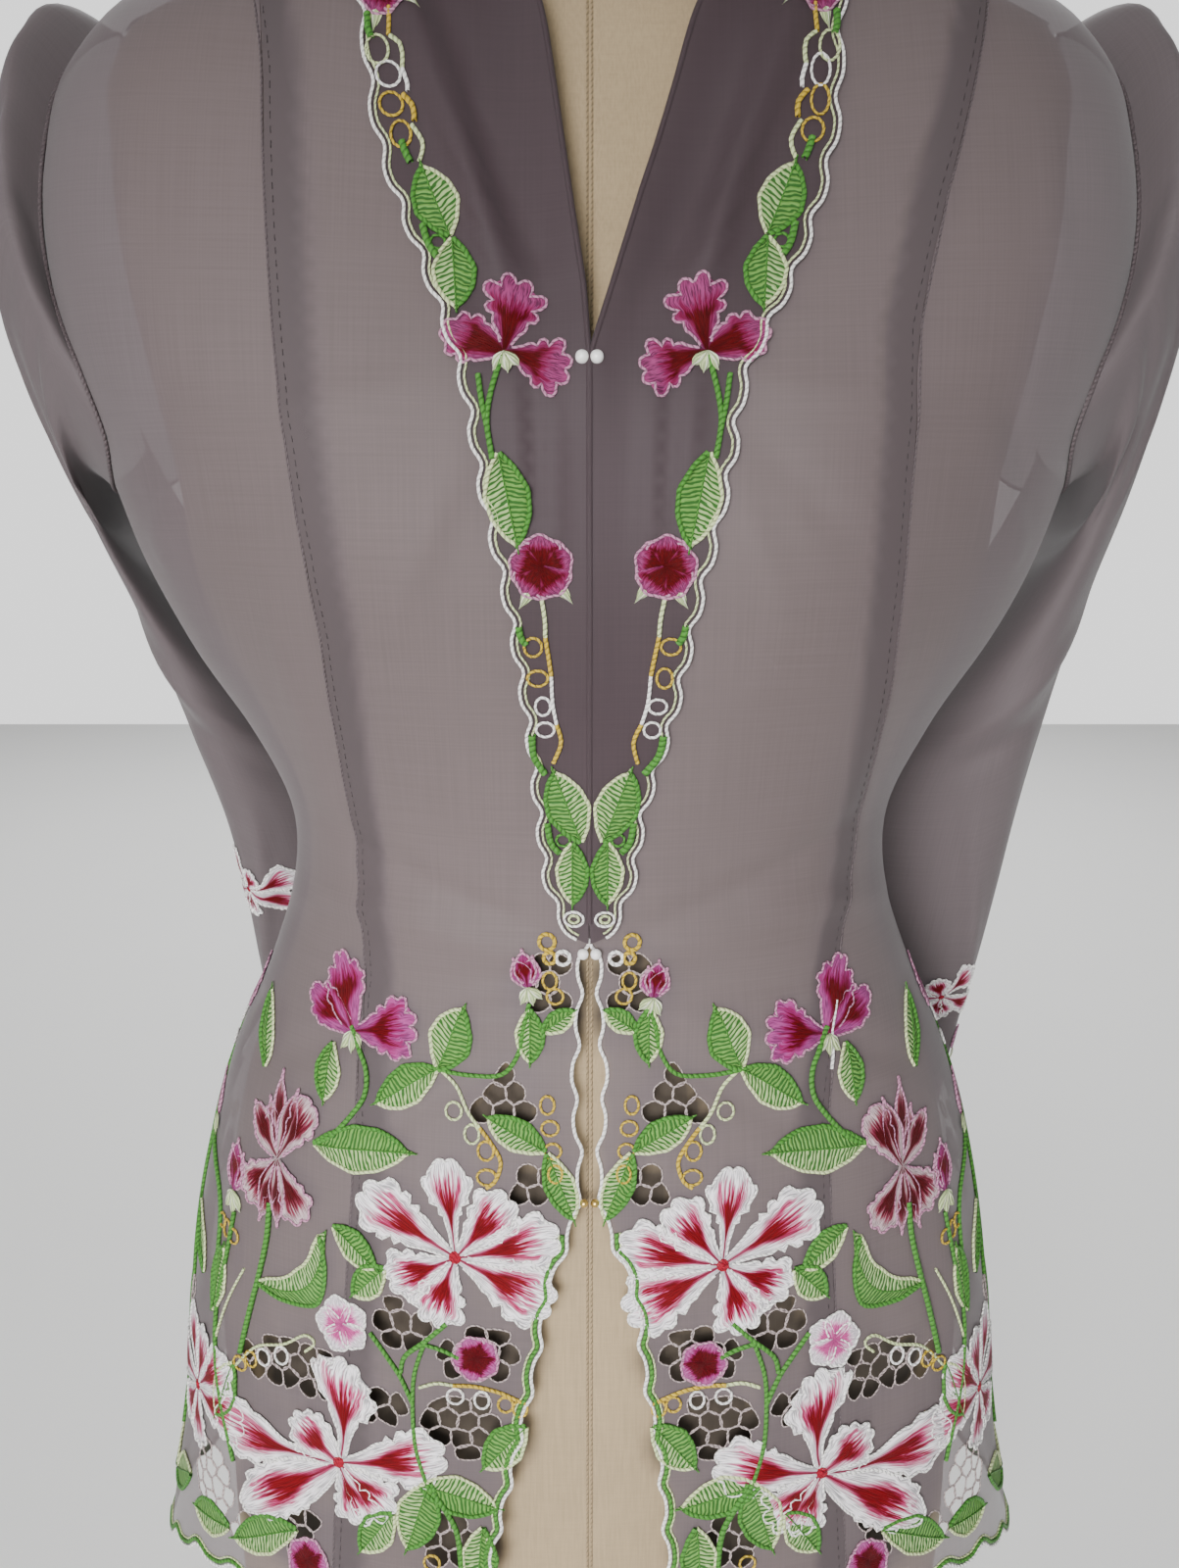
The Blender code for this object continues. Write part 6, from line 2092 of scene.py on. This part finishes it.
def fishbone_effect():
    """Slanting leaf stitches either side of a vein, pale on one half."""
    def wire(graph, given):
        place, parts = graph.thread_place()
        across = graph.centred(parts[1])
        side = graph.math("ABSOLUTE", across)
        wobble = graph.noise(graph.stretch(place, 0.8, 3.0), 1.0, 1.0)
        phase = graph.math("FRACT", graph.less(parts[0], graph.blend(side, 1.6, wobble, 1.2)))
        ridge = graph.less(1.0, graph.math("ABSOLUTE", graph.centred(phase)))
        pale_half = graph.soft_step(across, 0.06, -0.06)
        stroke = graph.soft_step(ridge, 0.32, 0.62)
        pale = graph.mix(stroke, given["Ground"], given["Pale"])
        green = graph.mix(stroke, given["Ground"], given["Green"])
        return {"Color": graph.mix(pale_half, green, pale), "Height": ridge}
    inputs = (
        ("Ground", COLOUR, (0.05, 0.22, 0.05, 1)),
        ("Green", COLOUR, (0.16, 0.48, 0.13, 1)),
        ("Pale", COLOUR, (0.66, 0.80, 0.56, 1)),
    )
    return effect("Fishbone stitch", inputs, COLOUR_AND_HEIGHT, wire)


def twist_effect():
    """Two-ply twist along a cord: turns for each pitch, with painted shade in its grooves."""
    def wire(graph, given):
        _, parts = graph.thread_place()
        phase = graph.math("FRACT", graph.add(graph.times(parts[0], given["Turns"]), parts[1]))
        ridge = graph.math("SINE", graph.times(phase, HALF_TURN))
        rough = graph.noise(graph.position(), 700.0, 1.0)
        shade = graph.soft_step(graph.add(ridge, graph.times(rough, 0.4)), 0.25, 0.95)
        return {"Height": ridge, "Shade": shade}
    return effect("Twisted ply", (("Turns", FLOAT, 1.0),), HEIGHT_AND_SHADE, wire)


class Finish:
    """A material with its Principled shader and its own graph."""

    def __init__(self, name, **values):
        self.material = bpy.data.materials.new(name)
        self.material.use_nodes = True
        self.graph = Graph(self.material.node_tree)
        self.shader = self.material.node_tree.nodes["Principled BSDF"]
        for key, value in values.items():
            self.shader.inputs[key.replace("_", " ")].default_value = value

    def group(self, tree, inputs=()):
        item = self.graph.node("ShaderNodeGroup", node_tree=tree)
        for key, value in dict(inputs).items():
            item.inputs[key].default_value = value
        return item.outputs

    def bump(self, height, distance, strength):
        item = self.graph.node("ShaderNodeBump", {
            "Height": height, "Distance": distance, "Strength": strength,
        })
        self.graph.feed(self.shader.inputs["Normal"], item.outputs[0])

    def colour(self, value):
        self.graph.feed(self.shader.inputs["Base Color"], value)


def shade_of(colour, share=1.0):
    return (colour[0] * share, colour[1] * share, colour[2] * share, 1.0)


def voile_finish(title, colour, cover, roughness, sheen):
    finish = Finish(
        title, Roughness=roughness, Sheen_Weight=sheen, Sheen_Roughness=0.45,
        Alpha=cover, Specular_IOR_Level=0.25)
    graph = finish.graph
    threads = finish.group(woven_effect())
    single = graph.mix(threads["Shade"], shade_of(colour, 0.92), shade_of(colour, 1.08))
    # Painted shade: the cloth's colour turns darker where its seam allowance lies doubled under it
    finish.colour(graph.mix(graph.tone("Doubled"), single, shade_of(colour, 0.66)))
    finish.bump(threads["Height"], 0.00010, 0.4)


def linen_finish(title, colour):
    finish = Finish(title, Roughness=0.9, Sheen_Weight=0.15)
    graph = finish.graph
    place = graph.own_place()
    level = graph.noise(graph.stretch(place, 90.0, 90.0, 1500.0), 1.0, 2.0)
    upright = graph.noise(graph.stretch(place, 1300.0, 1300.0, 60.0), 1.0, 2.0)
    weave = graph.blend(level, 0.3, upright, 0.7)
    shade = graph.soft_step(graph.blend(weave, 0.7, graph.noise(place, 14.0, 3.0), 0.3), 0.35, 0.65)
    plain = graph.mix(shade, shade_of(colour, 0.88), shade_of(colour, 1.06))
    # Painted shade: the linen turns dark brown behind the cutwork windows
    behind = graph.times(graph.tone("Behind cutwork"), 0.94)
    finish.colour(graph.mix(behind, plain, (0.030, 0.022, 0.017, 1)))
    finish.bump(weave, 0.00025, 0.6)


def wood_finish(title):
    finish = Finish(title, Roughness=0.42, Coat_Weight=0.25, Coat_Roughness=0.2)
    graph = finish.graph
    place = graph.own_place()
    grain = graph.noise(graph.stretch(place, 9.0, 160.0, 160.0), 1.0, 4.0, 0.6)
    pores = graph.noise(graph.stretch(place, 40.0, 900.0, 900.0), 1.0, 2.0)
    shade = graph.soft_step(graph.blend(grain, 0.75, pores, 0.25), 0.35, 0.65)
    finish.colour(graph.mix(shade, (0.10, 0.050, 0.024, 1), (0.24, 0.125, 0.062, 1)))
    finish.bump(pores, 0.0002, 0.3)


def clouded_finish(title, scale, dark, light, **values):
    """A smooth material whose colour drifts softly between two."""
    finish = Finish(title, **values)
    cloud = finish.graph.noise(finish.graph.own_place(), scale, 2.0)
    finish.colour(finish.graph.mix(cloud, dark, light))
    return finish.material


def stitched_finish(title, tree, inputs):
    finish = Finish(title, Roughness=0.60, Sheen_Weight=0.02, Specular_IOR_Level=0.12)
    stitches = finish.group(tree, inputs)
    finish.colour(stitches["Color"])
    finish.bump(stitches["Height"], 0.0006, 0.9)


def petal_finish(title, throat, fringe, rim, length, width, fray, rim_shade, roundness=0.0):
    stitched_finish(title, petal_effect(), {
        "Throat": shade_of(throat),
        "Throat shade": shade_of(throat, 0.45),
        "Fringe": shade_of(fringe),
        "Rim": shade_of(rim),
        "Rim shade": shade_of(rim, rim_shade),
        "Throat length": length,
        "Throat width": width,
        "Fray": fray,
        "Roundness": roundness,
    })


def leaf_finish(title, *colours):
    inputs = zip(("Ground", "Green", "Pale"), (shade_of(colour) for colour in colours))
    stitched_finish(title, fishbone_effect(), inputs)


def cord_finish(title, colour, groove_shade=0.45):
    finish = Finish(title, Roughness=0.55, Sheen_Weight=0.03, Specular_IOR_Level=0.20)
    ply = finish.group(twist_effect())
    # Painted shade: the cord's colour darkens in the grooves of its twist
    finish.colour(finish.graph.mix(ply["Shade"], shade_of(colour, groove_shade), shade_of(colour)))
    finish.bump(ply["Height"], 0.0004, 0.8)


CREAM = (0.56, 0.64, 0.33)
# Petals: throat, fringe, rim, throat's length and width, fray, shade of the rim, roundness
PETAL_COLOURS = {
    "white": ((0.150, 0.0, 0.003), (0.42, 0.04, 0.14), (0.84, 0.80, 0.83), 0.74, 0.46, 0.75, 0.34),
    "wine": ((0.070, 0.0, 0.0016), (0.20, 0.02, 0.05), (0.54, 0.41, 0.43), 0.78, 0.50, 0.60, 0.42),
    "orchid": ((0.105, 0.0, 0.002), (0.22, 0.008, 0.085), (0.34, 0.060, 0.22), 0.72, 0.60, 0.70, 0.40),
    "posy": ((0.090, 0.0, 0.003), (0.24, 0.012, 0.10), (0.40, 0.09, 0.27), 0.64, 0.80, 0.60, 0.45, 1.0),
    "dusk": ((0.085, 0.0, 0.001), (0.17, 0.006, 0.050), (0.27, 0.045, 0.145), 0.66, 0.66, 0.60, 0.32, 0.7),
    "pale": ((0.52, 0.07, 0.26), (0.66, 0.26, 0.46), (0.78, 0.70, 0.76), 0.60, 0.70, 0.60, 0.45, 0.6),
}
# Leaves: ground, green half, pale half
LEAF_COLOURS = {
    "leaves": ((0.030, 0.110, 0.020), (0.140, 0.310, 0.065), (0.33, 0.47, 0.19)),
    "cream leaves": ((0.36, 0.46, 0.22), CREAM, (0.80, 0.82, 0.64)),
}
# Threads: colour, and what share of it is left in their grooves as painted shade
THREAD_COLOURS = {
    "white": ((0.80, 0.78, 0.76), 0.55),
    "blush": ((0.46, 0.22, 0.33),),
    "cream": (CREAM,),
    "gold": ((0.50, 0.34, 0.035),),
    "crimson": ((0.30, 0.004, 0.02),),
    "bar": ((0.44, 0.36, 0.35), 0.35),
}
PEARL = ((0.80, 0.76, 0.70, 1), (0.88, 0.88, 0.90, 1))
PEARL_GLOSS = {"Roughness": 0.22, "Coat_Weight": 0.6, "Coat_Roughness": 0.08, "Sheen_Weight": 0.2}
GOLD = ((0.62, 0.40, 0.10, 1), (0.86, 0.64, 0.24, 1))
GOLD_GLOSS = {"Roughness": 0.28, "Metallic": 1.0}
# How much more than the body's cloth a sleeve covers, and how much a lapel's two layers do
SLEEVE_COVER = 0.12
LAPEL_COVER = 0.95


def finish_makers():
    """A function for each material, which makes it under a title."""
    look = bpy.context.scene.kebaya_look
    voile = look.voile_colour
    # The sleeves' voile is the body's voile painted darker, as painted shade
    sleeve = look.shaded_sleeve_colour
    makers = {
        "voile": lambda title: voile_finish(title, voile, look.cover, 0.62, 0.16),
        "sleeve voile": lambda title: voile_finish(title, sleeve, look.cover + SLEEVE_COVER, 0.62, 0.12),
        "lapel voile": lambda title: voile_finish(title, look.lapel_colour, LAPEL_COVER, 0.60, 0.06),
        "linen": lambda title: linen_finish(title, look.linen_colour),
        "linen thread": lambda title: cord_finish(title, shade_of(look.linen_colour, 0.85), 0.6),
        "green thread": lambda title: cord_finish(title, look.green_colour),
        "seam ridge": lambda title: cord_finish(title, shade_of(voile, 0.72), 0.8),
        "seam thread": lambda title: cord_finish(title, shade_of(voile, 0.35), 0.8),
        "wood": wood_finish,
        "pearl": lambda title: clouded_finish(title, 500.0, *PEARL, **PEARL_GLOSS),
        "gold": lambda title: clouded_finish(title, 900.0, *GOLD, **GOLD_GLOSS),
    }
    for name, row in PETAL_COLOURS.items():
        makers[name + " petals"] = lambda title, row=row: petal_finish(title, *row)
    for name, row in LEAF_COLOURS.items():
        makers[name] = lambda title, row=row: leaf_finish(title, *row)
    for name, row in THREAD_COLOURS.items():
        makers[name + " thread"] = lambda title, row=row: cord_finish(title, *row)
    return makers


def finish_of(name):
    """The material of that name, made when it is first asked for."""
    title = "kebaya " + name
    if title not in bpy.data.materials:
        finish_makers()[name](title)
    return bpy.data.materials[title]


FLOOR_SIZE = 6.0
FLOOR_TONES = ((0.90, 0.90, 0.89, 1), (0.93, 0.93, 0.92, 1))
# Lights: name, place, what they point at, size, power as a share of the key's, spread
LIGHTS = (
    ("key", (-0.35, -1.5, 0.55), (0.0, 0.0, 0.30), 0.9, 1.0, 50),
    ("side", (1.7, -1.0, 1.1), (0.0, 0.0, 0.45), 1.4, 0.30, 180),
    ("left", (-1.6, -0.6, 1.4), (-0.1, 0.0, 0.65), 1.0, 0.50, 180),
    ("back", (0.0, 1.9, 2.0), (0.0, 1.1, 0.0), 2.0, 9.0, 180),
)
# Camera: in front of the blouse, a little above its waist, tilted down
CAMERA_PLACE = (0.0, -0.667, WAIST_Z + 0.1827)
CAMERA_TILT = 0.1943
CAMERA_SENSOR = 36.0
CAMERA_LENS = 36.09
CAMERA_NEAR = 0.01


def make_floor():
    half = FLOOR_SIZE / 2
    mesh = bpy.data.meshes.new("floor")
    corners = [(-half, -half, 0), (half, -half, 0), (half, half, 0), (-half, half, 0)]
    mesh.from_pydata(corners, [], [(0, 1, 2, 3)])
    mesh.materials.append(clouded_finish("studio floor", 3.0, *FLOOR_TONES, Roughness=0.8))
    new_object("floor", mesh)


def make_lights(key):
    for name, place, target, size, share, spread in LIGHTS:
        lamp = bpy.data.lights.new(name, "AREA")
        lamp.shape = "DISK"
        lamp.size = size
        lamp.energy = key * share
        lamp.spread = math.radians(spread)
        item = new_object(name, lamp)
        item.location = place
        way = Vector(target) - item.location
        item.rotation_euler = way.to_track_quat("-Z", "Y").to_euler()


def make_world(fill, seen_strength):
    """Even light from all round, with a brighter face towards the camera."""
    world = bpy.data.worlds.new("studio")
    world.use_nodes = True
    backdrop = world.node_tree.nodes["Background"]
    backdrop.inputs["Color"].default_value = (1.0, 1.0, 1.0, 1.0)
    graph = Graph(world.node_tree)
    seen = graph.node("ShaderNodeLightPath").outputs["Is Camera Ray"]
    strength = graph.add(fill, graph.times(seen, seen_strength - fill))
    graph.feed(backdrop.inputs["Strength"], strength)
    bpy.context.scene.world = world


def make_camera():
    camera = bpy.data.cameras.new("camera")
    camera.sensor_width = CAMERA_SENSOR
    camera.sensor_fit = "AUTO"
    camera.lens = CAMERA_LENS
    camera.clip_start = CAMERA_NEAR
    item = new_object("camera", camera)
    item.location = CAMERA_PLACE
    item.rotation_euler = (math.pi / 2 - CAMERA_TILT, 0.0, 0.0)
    bpy.context.scene.camera = item


def make_stage(look):
    make_floor()
    make_world(look.fill, look.backdrop)
    make_lights(look.key)
    make_camera()


def colour_property(name, what, default):
    return FloatVectorProperty(
        name=name, description="Colour of " + what, subtype="COLOR", default=default, min=0.0, max=1.0)


class KebayaLook(PropertyGroup):
    """Colours, sheerness and light that a user would change."""

    voile_colour: colour_property("Voile", "the body's cloth", (0.132, 0.104, 0.110))
    # Painted shade: the same voile as the body's, darker on the sleeves
    shaded_sleeve_colour: colour_property("Sleeves", "the sleeves' cloth", (0.112, 0.090, 0.095))
    lapel_colour: colour_property("Lapels", "the double cloth of the lapels", (0.049, 0.033, 0.038))
    linen_colour: colour_property("Linen", "the dress form", (0.34, 0.255, 0.150))
    green_colour: colour_property("Green thread", "the stems and edges", (0.058, 0.210, 0.028))
    cover: FloatProperty(
        name="Cover", description="How much of the view one layer of voile hides",
        subtype="FACTOR", default=0.78, min=0.3, max=1.0)
    key: FloatProperty(
        name="Key light", description="Power of the main light", subtype="POWER", default=5.3, min=0.0)
    backdrop: FloatProperty(
        name="Backdrop", description="How bright the pale background looks", default=1.45, min=0.0)
    fill: FloatProperty(
        name="Fill", description="Strength of the even light from all round", default=0.37, min=0.0)


class StageOperator(Operator):
    """Sets the floor, the lights and the camera"""

    bl_idname = "kebaya.stage"
    bl_label = "Stage"

    def execute(self, context):
        make_stage(context.scene.kebaya_look)
        return {"FINISHED"}


class FormOperator(Operator):
    """Builds the linen dress form with its neck cap and foot"""

    bl_idname = "kebaya.form"
    bl_label = "Dress form"

    def execute(self, context):
        make_form()
        make_stand()
        return {"FINISHED"}


class FrontsOperator(Operator):
    """Cuts the four front panels with their windows"""

    bl_idname = "kebaya.fronts"
    bl_label = "Fronts"

    def execute(self, context):
        make_fronts()
        return {"FINISHED"}


class BackOperator(Operator):
    """Cuts the back with its windows"""

    bl_idname = "kebaya.back"
    bl_label = "Back"

    def execute(self, context):
        make_back()
        return {"FINISHED"}


class LapelsOperator(Operator):
    """Folds the two shawl lapels over the fronts"""

    bl_idname = "kebaya.lapels"
    bl_label = "Lapels"

    def execute(self, context):
        make_lapels()
        return {"FINISHED"}


class SleevesOperator(Operator):
    """Hangs the two sleeves"""

    bl_idname = "kebaya.sleeves"
    bl_label = "Sleeves"

    def execute(self, context):
        make_sleeves()
        return {"FINISHED"}


class SeamsOperator(Operator):
    """Sews the seams and their running stitches"""

    bl_idname = "kebaya.seams"
    bl_label = "Seams"

    def execute(self, context):
        make_seams()
        return {"FINISHED"}


class CutworkOperator(Operator):
    """Wraps the bars of the cutwork windows"""

    bl_idname = "kebaya.cutwork"
    bl_label = "Cutwork"

    def execute(self, context):
        make_cutwork()
        return {"FINISHED"}


class BordersOperator(Operator):
    """Lays the scalloped border cords"""

    bl_idname = "kebaya.borders"
    bl_label = "Borders"

    def execute(self, context):
        make_borders()
        return {"FINISHED"}


class EmbroideryOperator(Operator):
    """Stitches the flowers, leaves, stems and rings"""

    bl_idname = "kebaya.embroidery"
    bl_label = "Embroidery"

    def execute(self, context):
        make_body_embroidery()
        make_lapel_embroidery()
        make_cuff_embroidery()
        return {"FINISHED"}


class FasteningsOperator(Operator):
    """Sews on the pearls and the gold beads"""

    bl_idname = "kebaya.fastenings"
    bl_label = "Fastenings"

    def execute(self, context):
        make_fastenings()
        return {"FINISHED"}


OPERATORS = (
    StageOperator,
    FormOperator,
    FrontsOperator,
    BackOperator,
    LapelsOperator,
    SleevesOperator,
    SeamsOperator,
    CutworkOperator,
    BordersOperator,
    EmbroideryOperator,
    FasteningsOperator,
)


class KebayaPanel(Panel):
    """Lists the pieces of the kebaya and its colours"""

    bl_idname = "VIEW3D_PT_kebaya"
    bl_label = "Kebaya"
    bl_space_type = "VIEW_3D"
    bl_region_type = "UI"
    bl_category = "Kebaya"

    def draw(self, context):
        look = context.scene.kebaya_look
        for name in KebayaLook.__annotations__:
            self.layout.prop(look, name)
        for operator in OPERATORS:
            self.layout.operator(operator.bl_idname)


CLASSES = (KebayaLook,) + OPERATORS + (KebayaPanel,)


def register():
    for item in CLASSES:
        bpy.utils.register_class(item)
    bpy.types.Scene.kebaya_look = PointerProperty(type=KebayaLook)


def unregister():
    del bpy.types.Scene.kebaya_look
    for item in reversed(CLASSES):
        bpy.utils.unregister_class(item)


def main():
    register()
    for operator in OPERATORS:
        group, name = operator.bl_idname.split(".")
        getattr(getattr(bpy.ops, group), name)()


if __name__ == "__main__":
    main()
